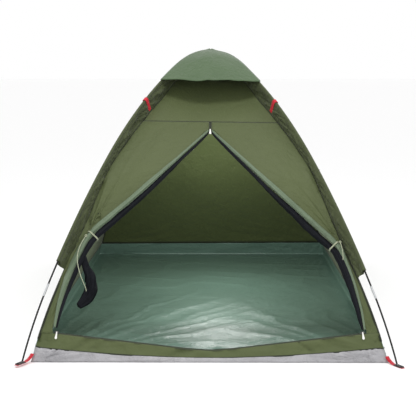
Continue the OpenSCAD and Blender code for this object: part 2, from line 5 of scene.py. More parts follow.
import bmesh
import bpy
import numpy as np
from bpy.props import FloatProperty, PointerProperty, StringProperty
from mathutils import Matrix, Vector


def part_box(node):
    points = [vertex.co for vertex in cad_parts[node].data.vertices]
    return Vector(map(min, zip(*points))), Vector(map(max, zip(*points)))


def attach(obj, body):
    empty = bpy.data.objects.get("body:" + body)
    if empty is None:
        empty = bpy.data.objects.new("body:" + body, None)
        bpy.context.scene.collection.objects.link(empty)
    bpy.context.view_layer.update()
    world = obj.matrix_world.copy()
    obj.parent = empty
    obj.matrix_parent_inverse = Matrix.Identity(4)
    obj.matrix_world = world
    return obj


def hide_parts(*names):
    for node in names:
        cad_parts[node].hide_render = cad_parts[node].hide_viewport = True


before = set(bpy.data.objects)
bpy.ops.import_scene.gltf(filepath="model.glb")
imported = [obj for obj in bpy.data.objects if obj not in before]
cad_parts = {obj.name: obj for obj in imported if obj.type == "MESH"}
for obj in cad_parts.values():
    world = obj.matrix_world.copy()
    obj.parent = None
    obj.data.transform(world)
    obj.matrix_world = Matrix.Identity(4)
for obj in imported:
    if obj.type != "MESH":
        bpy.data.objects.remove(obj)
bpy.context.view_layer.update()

bl_info = {
    "name": "Dome tent finish",
    "version": (1, 0, 0),
    "blender": (4, 5, 0),
    "location": "3D View > Sidebar > Tent",
    "description": "Adds the cloth, trim and studio to the dome tent's frame",
    "category": "Object",
}

MM = 0.001
BODY = "tent"

# ---- Sizes taken from the frame ----
SHEET_LOW, SHEET_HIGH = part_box("groundsheet")
FLOOR_W = SHEET_HIGH.x - SHEET_LOW.x
FLOOR_L = SHEET_HIGH.y - SHEET_LOW.y
POLE_R = 3 * MM
POLE_LIFT = 3.75 * MM
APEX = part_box("pole_a_section_4")[1].z - POLE_R - POLE_LIFT
TUB_H = 70 * MM
CLOTH = 2 * MM

# ---- The line of a pole half, from the top down: arcs that follow each other ----
ARC_LEN = np.array([280, 560, 560, 254]) * MM
ARC_TURN = np.radians([26.8, 18.2, 9.4, 10.8])
ARC_R = ARC_LEN / ARC_TURN
ARC_S = np.concatenate([[0], np.cumsum(ARC_LEN)[:-1]])
ARC_T = np.concatenate([[0], np.cumsum(ARC_TURN)[:-1]])
ARC_C = [np.array([0, APEX - ARC_R[0]])]
for k in range(1, len(ARC_LEN)):
    step = (ARC_R[k - 1] - ARC_R[k]) * np.array([math.sin(ARC_T[k]), math.cos(ARC_T[k])])
    ARC_C.append(ARC_C[-1] + step)
ARC_C = np.array(ARC_C)
POLE_LEN = float(ARC_LEN.sum())

# front left, front right, rear right, rear left
LEGS = [(-1, -1), (1, -1), (1, 1), (-1, 1)]
HALF_DIAGONAL = math.hypot(FLOOR_W, FLOOR_L) / 2
SLEEVE_END = 1290 * MM
CAP_REACH = 400 * MM
CAP_CLEAR = 10.5 * MM
MESH_S = 280 * MM
DOOR_SEAM_S = 590 * MM
DOOR_TOP_Z = 742 * MM
# heights of the ties and how far inside the corner seams they hold the cloth, by side
TIE_HEIGHT = {-1: 398 * MM, 1: 372 * MM}
TIE_INSET = {-1: 22 * MM, 1: 12 * MM}
DOOR_FOOT_X = 530 * MM
FOOT_ZIP_Z = 89 * MM
FOOT_ZIP_MID_Z = 36 * MM
ZIP_TURN_X = 80 * MM
ZIP_TURN_Z = 41 * MM
RIM_MID_Z = 14 * MM
ZIP_SLOT = 5 * MM

# The body seam wanders a little from the pole: places along the pole, and how far in it lies
SEAM_S = np.array([280, 430, 540, 640, 760, 880, 960, 1080, 1200, 1330, 1480, 1654]) * MM
SEAM_IN = np.array([45, 58, 53, 47, 38, 28, 36, 50, 51, 48, 46, 45]) * MM


def line(s, inset):
    """Distance from the middle and height, on the pole's line or inset inside it."""
    s = np.asarray(s, float)
    i = np.clip(np.searchsorted(ARC_S, s, side="right") - 1, 0, len(ARC_S) - 1)
    turn = ARC_T[i] + (s - ARC_S[i]) / ARC_R[i]
    reach = ARC_R[i] - inset
    return ARC_C[i, 0] + reach * np.sin(turn), ARC_C[i, 1] + reach * np.cos(turn)


def leg_dir(leg):
    x, y = LEGS[leg]
    return np.array([x * FLOOR_W, y * FLOOR_L, 0]) / 2 / HALF_DIAGONAL


def leg_lift(leg):
    x, y = LEGS[leg]
    return x * y * POLE_LIFT


def leg_point(leg, s, inset):
    r, z = line(s, inset)
    up = np.stack([np.zeros_like(z), np.zeros_like(z), z + leg_lift(leg)], -1)
    return r[..., None] * leg_dir(leg) + up


def seam_inset(s):
    """Distance of the body's seam below the pole, eased over 60 mm where it turns."""
    s = np.asarray(s, float)
    eased = [np.interp(s + shift * MM, SEAM_S, SEAM_IN) for shift in (-30, -15, 0, 15, 30)]
    return sum(eased) / len(eased)


def seam_z(s):
    return line(s, seam_inset(s))[1]


def seam_s(z):
    along = np.linspace(0, POLE_LEN, 1200)
    return np.interp(-np.asarray(z, float), -seam_z(along), along)


TUB_S = float(seam_s(TUB_H))
FOOT_S = float(seam_s(FOOT_ZIP_Z))
DOOR_TOP_S = float(seam_s(DOOR_TOP_Z))
TIE_X = {}
for tied in (-1, 1):
    TIE_X[tied] = float(leg_point(1, seam_s(TIE_HEIGHT[tied]), 45 * MM)[0]) - TIE_INSET[tied]


# ---- Noise that is the same on every run ----
LATTICE = np.random.RandomState(11).rand(97, 97)


def soft_noise(x, y, seed=0):
    """Smooth noise from -1 to 1, one lump to each unit of x and y."""
    x = np.asarray(x, float) + seed * 7.31
    y = np.asarray(y, float) + seed * 3.77
    ix, iy = np.floor(x).astype(int), np.floor(y).astype(int)
    fx, fy = x - ix, y - iy
    fx, fy = fx * fx * (3 - 2 * fx), fy * fy * (3 - 2 * fy)
    n = len(LATTICE)
    a, b = LATTICE[ix % n, iy % n], LATTICE[(ix + 1) % n, iy % n]
    c, d = LATTICE[ix % n, (iy + 1) % n], LATTICE[(ix + 1) % n, (iy + 1) % n]
    return 2 * ((a * (1 - fx) + b * fx) * (1 - fy) + (c * (1 - fx) + d * fx) * fy) - 1


def crease(x, y, seed=0):
    """Sharp-backed folds from 0 to 1, as pulled cloth has."""
    return np.clip(1 - 2.2 * np.abs(soft_noise(x, y, seed)), 0, 1) ** 1.5


def step_up(x, low, high):
    """Smooth step from 0 at low to 1 at high."""
    t = np.clip((np.asarray(x, float) - low) / (high - low), 0, 1)
    return t * t * (3 - 2 * t)


def unit(v):
    """Vectors of length one, along the last axis."""
    return v / np.maximum(np.linalg.norm(v, axis=-1, keepdims=True), 1e-9)


def run_along(path):
    """Distance from a path's start to each of its points."""
    return np.concatenate([[0], np.cumsum(np.linalg.norm(np.diff(path, axis=0), axis=1))])


def fan(x, y, cx, cy, count, reach, seed):
    """Folds that run out of a corner at cx, cy and fade over reach."""
    away = np.hypot(x - cx, y - cy)
    turn = np.arctan2(y - cy, x - cx)
    near = np.exp(-away / reach) * step_up(away, 0, 60 * MM)
    return crease(turn * count + 0.4 * soft_noise(away * 9, turn * 3, seed), away * 1.3, seed) * near


# ---- Materials ----
def linear(hex_colour):
    """An sRGB hex colour as a linear RGBA."""
    value = hex_colour.lstrip("#")
    channels = [int(value[i : i + 2], 16) / 255 for i in (0, 2, 4)]
    return [c / 12.92 if c <= 0.04045 else ((c + 0.055) / 1.055) ** 2.4 for c in channels] + [1]


def add_node(tree, kind, settings=None, links=None):
    """A node with its settings and the sockets that feed it."""
    node = tree.nodes.new(kind)
    for name, value in (settings or {}).items():
        if isinstance(name, int) or name in node.inputs:
            node.inputs[name].default_value = value
        else:
            setattr(node, name, value)
    for name, socket in (links or {}).items():
        tree.links.new(socket, node.inputs[name])
    return node


def new_material(name):
    material = bpy.data.materials.new(name)
    material.use_nodes = True
    tree = material.node_tree
    tree.nodes.clear()
    return material, tree


def on_cloth(tree):
    """Metres along the cloth, from its own flat layout."""
    return add_node(tree, "ShaderNodeUVMap", {"uv_map": "cloth"}).outputs["UV"]


def in_space(tree):
    return add_node(tree, "ShaderNodeTexCoord").outputs["Object"]


def noise_at(tree, where, size, detail=3.0, rough=0.5, distortion=0.0):
    """Noise whose lumps are about size metres across."""
    settings = {"Scale": 1 / size, "Detail": detail, "Roughness": rough, "Distortion": distortion}
    return add_node(tree, "ShaderNodeTexNoise", settings, {"Vector": where}).outputs["Fac"]


def threads(tree, where, spacing, direction):
    """Bands one spacing apart."""
    settings = {"wave_type": "BANDS", "bands_direction": direction, "wave_profile": "SIN"}
    settings["Scale"] = 0.314 / spacing
    return add_node(tree, "ShaderNodeTexWave", settings, {"Vector": where}).outputs["Fac"]


def crossed(tree, where, spacing, operation):
    """Two sets of threads, one across the other."""
    links = {0: threads(tree, where, spacing, "X"), 1: threads(tree, where, spacing, "Y")}
    return add_node(tree, "ShaderNodeMath", {"operation": operation}, links).outputs[0]


def drawn_out(tree, squeeze):
    """Places squeezed along the height, so that marks run lengthwise on a pole."""
    links = {"Vector": in_space(tree)}
    return add_node(tree, "ShaderNodeMapping", {"Scale": (1, 1, squeeze)}, links).outputs["Vector"]


def shades(tree, factor, dark, light):
    """A colour that wanders between two tones."""
    settings = {"data_type": "RGBA", 6: linear(dark), 7: linear(light)}
    return add_node(tree, "ShaderNodeMix", settings, {0: factor}).outputs[2]


def stacked_bump(tree, layers):
    """Bump nodes one on another: each layer is (height, strength, distance in metres)."""
    links = {}
    for height, strength, distance in layers:
        settings = {"Strength": strength, "Distance": distance}
        node = add_node(tree, "ShaderNodeBump", settings, {"Height": height, **links})
        links = {"Normal": node.outputs["Normal"]}
    return links["Normal"]


def finish_shader(tree, settings, links):
    shader = add_node(tree, "ShaderNodeBsdfPrincipled", settings, links)
    add_node(tree, "ShaderNodeOutputMaterial", {}, {"Surface": shader.outputs["BSDF"]})


def complete(material, settings, factor, tones, layers):
    """Joins the two tones and the bumps to the shader."""
    tree = material.node_tree
    links = {"Base Color": shades(tree, factor, *tones), "Normal": stacked_bump(tree, layers)}
    finish_shader(tree, settings, links)
    return material


def woven_polyester(name, dark, light, roughness=0.6, crumple=0.8):
    """Plain-woven polyester with a thin coating: a soft sheen, faint threads and small crumples.

    The threads are drawn 1.8 mm apart, coarser than the real 0.25 mm, so that they show."""
    material, tree = new_material(name)
    where = on_cloth(tree)
    folds = noise_at(tree, where, 48 * MM, 6, 0.62, 1.2)
    weave = crossed(tree, where, 1.8 * MM, "MULTIPLY")
    patches = noise_at(tree, where, 210 * MM, 4, 0.6)
    sheen = {"Sheen Weight": 0.12, "Sheen Roughness": 0.45, "Specular IOR Level": 0.35}
    settings = {"Roughness": roughness, "IOR": 1.5, **sheen}
    layers = [(folds, crumple, 6 * MM), (weave, 0.25, 0.3 * MM)]
    return complete(material, settings, patches, (dark, light), layers)


def coated_sheet(name, dark, light, roughness, metallic=0.0, crumple=0.6):
    """Woven tape sheet with a coat on both sides: smooth and half glossy, with a square thread grid.

    The tapes are drawn 3 mm wide, as they are on the coarse side of real sheet."""
    material, tree = new_material(name)
    where = on_cloth(tree)
    folds = noise_at(tree, where, 45 * MM, 6, 0.62, 1.4)
    grid = crossed(tree, where, 3 * MM, "MAXIMUM")
    patches = noise_at(tree, where, 330 * MM, 3, 0.5)
    settings = {"Roughness": roughness, "IOR": 1.51, "Metallic": metallic, "Specular IOR Level": 0.5}
    layers = [(folds, crumple, 6 * MM), (grid, 0.12, 0.2 * MM)]
    return complete(material, settings, patches, (dark, light), layers)


def knitted_net():
    """Knitted no-see-um net of nylon: nearly black when bundled, with a fine cell. Its colour follows the
    folds' height and is darker in their hollows: painted shade.
    """
    material, tree = new_material("knitted_nylon_net")
    where = on_cloth(tree)
    settings = {"feature": "DISTANCE_TO_EDGE", "Scale": 1 / (1.6 * MM), "Randomness": 0.12}
    cell = add_node(tree, "ShaderNodeTexVoronoi", settings, {"Vector": where}).outputs["Distance"]
    folds = noise_at(tree, where, 14 * MM, 5, 0.6, 1.5)
    settings = {"Roughness": 0.8, "IOR": 1.53, "Specular IOR Level": 0.2}
    layers = [(folds, 0.7, 4 * MM), (cell, 0.4, 0.3 * MM)]
    # the folds' height also picks the tone: painted shade in the fold hollows
    return complete(material, settings, folds, ("#090A0E", "#171A21"), layers)


def woven_webbing(name, dark, light):
    """Polypropylene webbing: ribs across its width, slightly glossy, with uneven yarn."""
    material, tree = new_material(name)
    where = on_cloth(tree)
    ribs = threads(tree, where, 1.6 * MM, "Y")
    yarn = noise_at(tree, where, 3 * MM, 3, 0.6)
    settings = {"Roughness": 0.55, "IOR": 1.49, "Sheen Weight": 0.1}
    layers = [(ribs, 0.6, 0.5 * MM), (yarn, 0.3, 0.3 * MM)]
    return complete(material, settings, yarn, (dark, light), layers)


def moulded_plastic(name, dark, light, roughness):
    """Injection-moulded acetal: even colour, a satin skin with a faint grain from the tool."""
    material, tree = new_material(name)
    where = in_space(tree)
    grain = noise_at(tree, where, 0.8 * MM, 4, 0.6)
    wear = noise_at(tree, where, 9 * MM, 3, 0.5)
    settings = {"Roughness": roughness, "IOR": 1.48}
    return complete(material, settings, wear, (dark, light), [(grain, 0.2, 0.1 * MM)])


def pultruded_fibreglass():
    """Fibreglass rod drawn through a die: black resin with long faint streaks and a soft gloss."""
    material, tree = new_material("pultruded_fibreglass")
    streaks = noise_at(tree, drawn_out(tree, 0.15), 2.5 * MM, 4, 0.6)
    settings = {"Roughness": 0.45, "IOR": 1.55, "Specular IOR Level": 0.25}
    return complete(material, settings, streaks, ("#060606", "#121214"), [(streaks, 0.25, 0.15 * MM)])


def drawn_steel():
    """Zinc-plated drawn steel tube: pale, fairly bright, with fine lengthwise draw marks."""
    material, tree = new_material("zinc_plated_steel")
    marks = noise_at(tree, drawn_out(tree, 0.1), 1.2 * MM, 4, 0.6)
    settings = {"Roughness": 0.36, "Metallic": 0.85}
    return complete(material, settings, marks, ("#A9ACAE", "#DADCDD"), [(marks, 0.2, 0.08 * MM)])


def painted_zinc():
    """Die-cast zinc with baked enamel: black, glossy, and rubbed paler here and there."""
    material, tree = new_material("enamelled_zinc")
    rub = noise_at(tree, in_space(tree), 4 * MM, 4, 0.7)
    settings = {"Roughness": 0.38, "IOR": 1.52, "Coat Weight": 0.3}
    return complete(material, settings, rub, ("#1B1B1A", "#3D3D3A"), [(rub, 0.15, 0.1 * MM)])


def braided_cord(name, dark, light):
    """Braided polyester cord: crossing strands that give it a fine herringbone."""
    material, tree = new_material(name)
    where = in_space(tree)
    strands = threads(tree, where, 1.5 * MM, "DIAGONAL")
    fluff = noise_at(tree, where, 1 * MM, 3, 0.6)
    settings = {"Roughness": 0.7, "IOR": 1.5, "Sheen Weight": 0.2}
    layers = [(strands, 0.6, 0.3 * MM), (fluff, 0.2, 0.1 * MM)]
    return complete(material, settings, strands, (dark, light), layers)


def studio_board():
    """Matt painted board: pale and even, with the faintest roller texture."""
    material, tree = new_material("matt_white_board")
    roller = noise_at(tree, in_space(tree), 12 * MM, 3, 0.5)
    settings = {"Roughness": 0.9, "Base Color": linear("#FCFCFC")}
    finish_shader(tree, settings, {"Normal": stacked_bump(tree, [(roller, 0.03, 0.3 * MM)])})
    return material


MATERIALS = {}


def material_named(name):
    """Makes each finish once, from the colours in the panel."""
    tones = bpy.context.scene.tent_colours
    makers = {
        "body": lambda: woven_polyester("coated_polyester_taffeta", tones.body_dark, tones.body_light),
        "cap": lambda: woven_polyester("rain_cap_taffeta", tones.cap_dark, tones.cap_light, 0.55),
        "sleeve": lambda: woven_polyester("sleeve_taffeta", tones.sleeve_dark, tones.sleeve_light, 0.65, 1.8),
        # the rolls are the body's taffeta given lighter tones: a painted sheen along the rolled cloth
        "roll": lambda: woven_polyester("rolled_taffeta", tones.roll_dark, tones.roll_light, 0.5, 0.9),
        "seam": lambda: woven_polyester("seam_binding", "#1D2216", "#2A301F", 0.7, 0.3),
        "floor": lambda: coated_sheet("floor_polyethylene", tones.floor_dark, tones.floor_light, 0.36),
        "silver": lambda: coated_sheet("silver_polyethylene", "#8B8A8E", "#B7B6B9", 0.42, 0.15, 1.8),
        "net": knitted_net,
        "rod": pultruded_fibreglass,
        "steel": drawn_steel,
        "enamel": painted_zinc,
        "red": lambda: woven_webbing("red_webbing", "#B3001F", tones.webbing),
        "black": lambda: moulded_plastic("black_acetal", "#070707", "#111111", 0.5),
        "white": lambda: moulded_plastic("white_acetal", "#DDDDD6", "#F4F4EE", 0.35),
        "tape": lambda: woven_webbing("zip_tape", "#23281B", "#343B26"),
        "coil": lambda: moulded_plastic("nylon_coil", "#1C2016", "#2B3021", 0.45),
        "elastic": lambda: braided_cord("white_elastic_cord", "#C9C9C4", "#ECECE8"),
        "cord": lambda: braided_cord("pale_braided_cord", "#8E9479", "#C3C8AC"),
        "board": studio_board,
    }
    if name not in MATERIALS:
        MATERIALS[name] = makers[name]()
    return MATERIALS[name]


# ---- Meshes ----
def add_piece(name, verts, faces, finishes, uvs):
    """A mesh piece that rides on the tent; uvs are metres along the cloth, one for each vertex."""
    mesh = bpy.data.meshes.new(name)
    mesh.from_pydata([tuple(v) for v in np.asarray(verts, float)], [], faces)
    layer = mesh.uv_layers.new(name="cloth")
    uvs = np.asarray(uvs, float)
    for loop in mesh.loops:
        layer.data[loop.index].uv = uvs[loop.vertex_index]
    for finish in finishes:
        mesh.materials.append(material_named(finish))
    mesh.polygons.foreach_set("use_smooth", [True] * len(mesh.polygons))
    mesh.update()
    piece = bpy.data.objects.new(name, mesh)
    bpy.context.scene.collection.objects.link(piece)
    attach(piece, BODY)
    return piece


def grid_faces(n, m, closed=False, start=0):
    """Quads between n rows of m points; closed joins each row's ends."""
    faces = []
    for i in range(n - 1):
        row = start + i * m
        for j in range(m if closed else m - 1):
            k = (j + 1) % m
            faces.append((row + j, row + k, row + m + k, row + m + j))
    return faces


def capped_faces(n, m):
    """The faces of a tube of n rings of m points, with its two end caps."""
    caps = [tuple(range(m))[::-1], tuple((n - 1) * m + j for j in range(m))]
    return grid_faces(n, m, closed=True) + caps


def grid_normals(points):
    """Unit normals of a grid of points, to the outside of the tent."""
    return unit(np.cross(np.gradient(points, axis=0), np.gradient(points, axis=1)))


def grid_of(low, high, rows, columns):
    """Places s down the pole from low to high, and t across from 0 to 1, on a grid."""
    s = np.linspace(low, high, rows)[:, None] * np.ones((1, columns))
    return s, np.ones((rows, 1)) * np.linspace(0, 1, columns)[None, :]


def thicken(piece, thickness=0.7 * MM, offset=0.0, inner_slot=0):
    solid = piece.modifiers.new("cloth thickness", "SOLIDIFY")
    solid.thickness = thickness
    solid.offset = offset
    solid.material_offset = inner_slot
    solid.use_even_offset = True
    return piece


def lay_out(points):
    """Metres along the cloth for each point of a grid."""
    down = np.linalg.norm(np.diff(points, axis=0), axis=-1)
    across = np.linalg.norm(np.diff(points, axis=1), axis=-1)
    v = np.concatenate([np.zeros((1, points.shape[1])), np.cumsum(down, 0)])
    u = np.concatenate([np.zeros((points.shape[0], 1)), np.cumsum(across, 1)], 1)
    return np.stack([u - u[:, -1:] / 2, v], -1)


def cloth_sheet(name, points, finish, node):
    """A sewn panel from a grid of points, with UVs in metres of its own flat size."""
    n, m = points.shape[:2]
    uv = lay_out(points)
    piece = add_piece(name, points.reshape(-1, 3), grid_faces(n, m), [finish], uv.reshape(-1, 2))
    thicken(piece)
    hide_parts(node)


def panel(a, b, s, t, belly):
    """Points between two legs' seams: s along the pole, t across from leg a to leg b."""
    s, t = np.broadcast_arrays(np.asarray(s, float), np.asarray(t, float))
    inset = seam_inset(s)
    pa, pb = leg_point(a, s, inset), leg_point(b, s, inset)
    out = unit(leg_dir(a) + leg_dir(b))
    return pa * (1 - t)[..., None] + pb * t[..., None] + (belly * 4 * t * (1 - t))[..., None] * out


def bump(s, low, high):
    return np.sin(np.pi * np.clip((s - low) / (high - low), 0, 1))


def wall_points(a, b, sag, seed):
    """A wall between two legs, pulled in by its own tension, with folds out of its corners."""
    s, t = grid_of(MESH_S, TUB_S - 3 * MM, 110, 120)
    points = panel(a, b, s, t, -sag * bump(s, MESH_S, TUB_S))
    uv = lay_out(points)
    u, v = uv[..., 0], uv[..., 1]
    half = u[-1, -1]
    edge = np.minimum(step_up(t, 0, 0.05), step_up(1 - t, 0, 0.05)) * step_up(v, 0, 0.04)
    edge = edge * step_up(v[-1:, :] - v, 0, 0.03)
    depth = 9 * MM * fan(u, v, -half, v[-1, 0], 11, 0.32, seed)
    depth = depth + 9 * MM * fan(u, v, half, v[-1, -1], 11, 0.32, seed + 1)
    depth = depth + 4 * MM * soft_noise(u * 3 + v, v * 1.4, seed + 2)
    depth = depth + 2.2 * MM * soft_noise(u * 9 + 5 * v, v * 5, seed + 3)
    return points + grid_normals(points) * (depth * edge)[..., None]


def smooth_route(points, steps):
    """A curve through given points, steps to each stretch."""
    points = np.asarray(points, float)
    last = len(points) - 1
    out = []
    for i in range(last):
        a, b = points[max(i - 1, 0)], points[i]
        c, d = points[i + 1], points[min(i + 2, last)]
        for t in np.arange(steps) / steps:
            bend, twist = 2 * a - 5 * b + 4 * c - d, 3 * b - a - 3 * c + d
            out.append(0.5 * (2 * b + (c - a) * t + bend * t**2 + twist * t**3))
    return np.array(out + [points[-1]])


def frames_along(path, up=(0, -0.5, 1)):
    """Two side directions at each point of a path, square to it."""
    ahead = unit(np.gradient(path, axis=0))
    side = unit(np.cross(ahead, np.asarray(up, float)))
    return side, np.cross(side, ahead)


# the outline of a strap: across its width and through its thickness
STRAP_OUTLINE = [(-0.5, -0.35), (-0.46, 0.5), (0, 0.6), (0.46, 0.5)]
STRAP_OUTLINE += [(0.5, -0.35), (0.46, -0.5), (0, -0.55), (-0.46, -0.5)]


def ribbon(name, path, side, width, thickness, finish):
    """A flat strap or tape along a path: side is the direction of its width, at each point or all along."""
    path = np.asarray(path, float)
    side = unit(np.broadcast_to(np.asarray(side, float), path.shape))
    face = np.cross(unit(np.gradient(path, axis=0)), side)
    rings = np.stack([path + side * a * width + face * b * thickness for a, b in STRAP_OUTLINE], 1)
    n, m = rings.shape[:2]
    across = np.broadcast_to([a * width for a, b in STRAP_OUTLINE], (n, m))
    uv = np.stack([across, np.repeat(run_along(path)[:, None], m, 1)], -1)
    return add_piece(name, rings.reshape(-1, 3), capped_faces(n, m), [finish], uv.reshape(-1, 2))


def weld(piece, gap):
    """Merges points that lie together, and drops faces that close up."""
    mesh = bmesh.new()
    mesh.from_mesh(piece.data)
    bmesh.ops.remove_doubles(mesh, verts=mesh.verts, dist=gap)
    bmesh.ops.dissolve_degenerate(mesh, edges=mesh.edges, dist=gap / 2)
    mesh.to_mesh(piece.data)
    mesh.free()


def join_pieces(name, pieces, node=None):
    """Makes one piece of several that are the same kind of thing, and of the node that they stand for."""
    bpy.ops.object.select_all(action="DESELECT")
    for piece in pieces:
        piece.select_set(True)
    piece = pieces[0]
    bpy.context.view_layer.objects.active = piece
    bpy.ops.object.join()
    piece.name = name
    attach(piece, BODY)
    if node:
        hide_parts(node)
    return piece


# ---- Front ----
PULL_OUT = {-1: 28 * MM, 1: 18 * MM}


def opening_x(z, side):
    """Distance from the middle to the door's edge; below its tie each flap is pulled outwards."""
    z = np.asarray(z, float)
    tie_z, tie_x = TIE_HEIGHT[side], TIE_X[side]
    fall = np.clip((tie_z - z) / (tie_z - FOOT_ZIP_Z), 0, 1)
    upper = 22 * MM + (tie_x - 22 * MM) * (DOOR_TOP_Z - z) / (DOOR_TOP_Z - tie_z)
    lower = tie_x + (DOOR_FOOT_X - tie_x) * fall + PULL_OUT[side] * np.sin(np.pi * fall) ** 0.6
    return np.where(z > DOOR_TOP_Z + 8 * MM, ZIP_SLOT, np.where(z > tie_z, upper, lower))


def front_point(s, x):
    """A point of the front's cloth at a place along the pole and a distance from the middle."""
    s, x = np.broadcast_arrays(np.asarray(s, float), np.asarray(x, float))
    half = leg_point(1, s, seam_inset(s))[..., 0]
    return panel(0, 1, s, 0.5 + x / half / 2, 0 * s)


def front_folds(points, seed):
    """Soft slack in the front's cloth."""
    x, z = points[..., 0], points[..., 2]
    long = soft_noise(x * 7 + z * 3, z * 4, seed)
    return 3.5 * MM * long + 1.5 * MM * soft_noise(x * 22, z * 9, seed + 1)


def front_top_points():
    s, t = grid_of(MESH_S, DOOR_SEAM_S, 44, 90)
    points = panel(0, 1, s, t, -8 * MM * bump(s, MESH_S, DOOR_SEAM_S))
    edge = np.minimum(step_up(t, 0, 0.08), step_up(1 - t, 0, 0.08)) * step_up(s, MESH_S, MESH_S + 0.03)
    edge = edge * step_up(DOOR_SEAM_S - s, 0, 0.02)
    return points + grid_normals(points) * (front_folds(points, 3) * edge)[..., None]


def flank_points(side):
    """The front's cloth from a corner seam to the door's edge, where it tucks under the roll."""
    rows, columns = 110, 30
    s = np.linspace(DOOR_SEAM_S, FOOT_S + 2 * MM, rows)
    half = leg_point(1, s, seam_inset(s))[:, 0]
    edge_x = opening_x(seam_z(s), side)
    tuck = 7 * MM * step_up(s, DOOR_TOP_S, DOOR_TOP_S + 0.05) * step_up(FOOT_S - s, 0.01, 0.05)
    edge_x = np.maximum(edge_x - tuck, ZIP_SLOT)
    k = np.linspace(0, 1, columns)
    x = half[:, None] * (1 - k) + edge_x[:, None] * k
    points = front_point(s[:, None] * np.ones((1, columns)), x * side)
    if side > 0:
        points = points[:, ::-1]
        k = k[::-1]
    away = np.minimum(step_up(k, 0, 0.12), step_up(1 - k, 0, 0.2))[None, :] * np.ones((rows, 1))
    away = away * step_up(s - DOOR_SEAM_S, 0, 0.03)[:, None] * step_up(FOOT_S - s, 0, 0.05)[:, None]
    u, v = points[..., 0] * side, points[..., 2]
    depth = front_folds(points, 5 if side < 0 else 8)
    depth = depth + 13 * MM * fan(u, v, TIE_X[side], TIE_HEIGHT[side], 9, 0.17, 21 if side < 0 else 22)
    depth = depth + 6 * MM * fan(u, v, 0.59, 0.06, 14, 0.2, 23)
    return points + grid_normals(points) * (depth * away)[..., None]


def make_front():
    cloth_sheet("front_top_cloth", front_top_points(), "body", "front_top_panel")
    cloth_sheet("front_left_cloth", flank_points(-1), "body", "front_left_panel")
    cloth_sheet("front_right_cloth", flank_points(1), "body", "front_right_panel")


def make_walls():
    for word, a, b, sag, seed in (("left", 3, 0, 52, 31), ("right", 1, 2, 52, 41), ("rear", 2, 3, 42, 51)):
        cloth_sheet(word + "_cloth", wall_points(a, b, sag * MM, seed), "body", word + "_wall")


# ---- Foot of the door and the groundsheet ----
FRONT_LEAN = (FLOOR_L / 2 + float(leg_point(0, FOOT_S, 45 * MM)[1])) / FOOT_ZIP_Z


def foot_z(x):
    x = np.abs(np.asarray(x, float))
    fall = (FOOT_ZIP_Z - ZIP_TURN_Z) / (DOOR_FOOT_X - ZIP_TURN_X)
    outer = ZIP_TURN_Z + fall * (x - ZIP_TURN_X)
    inner = FOOT_ZIP_MID_Z + (ZIP_TURN_Z - FOOT_ZIP_MID_Z) * x / ZIP_TURN_X
    return np.where(x > ZIP_TURN_X, outer, inner)


RIM_END_Z = 46 * MM


def rim_z(x):
    """Height of the seam between the door's foot strip and the groundsheet's front wall."""
    reach = np.minimum(np.abs(np.asarray(x, float)) / (FLOOR_W / 2 - 12 * MM), 1)
    return RIM_MID_Z + (RIM_END_Z - RIM_MID_Z) * reach**1.8


def rim_end(leg):
    """Where that seam meets a corner seam."""
    s = seam_s(RIM_END_Z)
    return leg_point(leg, s, seam_inset(s))


def front_at(x, z):
    x, z = np.broadcast_arrays(np.asarray(x, float), np.asarray(z, float))
    return np.stack([x, -FLOOR_L / 2 + FRONT_LEAN * z, z], -1)


def make_threshold():
    """The green strip between the foot zip and the groundsheet, slack in its middle."""
    columns, rows = 150, 12
    reach = float(leg_point(1, FOOT_S, seam_inset(FOOT_S))[0])
    x = np.linspace(-reach, reach, columns)
    top = front_at(x, np.minimum(foot_z(x), FOOT_ZIP_Z + 2 * MM))
    low = front_at(x, rim_z(x))
    low[0], low[-1] = rim_end(0), rim_end(1)
    k = np.linspace(0, 1, rows)[:, None, None]
    points = top[None] * (1 - k) + low[None] * k
    u, v = points[..., 0], points[..., 2]
    inside = np.sin(np.pi * k[..., 0]) ** 0.6
    lean = np.sign(u)
    depth = 8 * MM * crease(u * 14 + lean * v * 22, v * 9 + u, 61) + 4 * MM * soft_noise(u * 34, v * 34, 62)
    depth = depth + 9 * MM * (fan(u, v, -0.6, 0.03, 14, 0.2, 63) + fan(u, v, 0.6, 0.03, 14, 0.2, 64))
    # pulled flat where the zip's two pulls hang on it
    flat = 1 - 0.85 * np.exp(-(((np.abs(u) - DOOR_FOOT_X + 12 * MM) / (26 * MM)) ** 2))
    points = points - grid_normals(points) * (depth * inside * flat)[..., None]
    cloth_sheet("threshold_cloth", points, "body", "door_threshold")


def floor_height(x, y):
    """Folds in the groundsheet: fans out of the front corners and slack ripples in the middle."""
    rise = 12 * MM * (fan(x, y, -0.62, -1.02, 13, 0.85, 71) + fan(x, y, 0.62, -1.02, 13, 0.6, 72))
    rise = rise + 8 * MM * (fan(x, y, -0.6, 1.0, 9, 0.3, 73) + fan(x, y, 0.6, 1.0, 9, 0.3, 74))
    rise = rise + 3.5 * MM * crease(x * 3.2 - y * 1.5, y * 7 + x * 2, 75)
    rise = rise + 2.5 * MM * (1 + soft_noise(x * 13 + y * 5, y * 21, 76)) / 2
    edge = step_up(FLOOR_W / 2 - np.abs(x), 0, 0.03) * step_up(FLOOR_L / 2 - np.abs(y), 0, 0.03)
    return 2.5 * MM + rise * edge


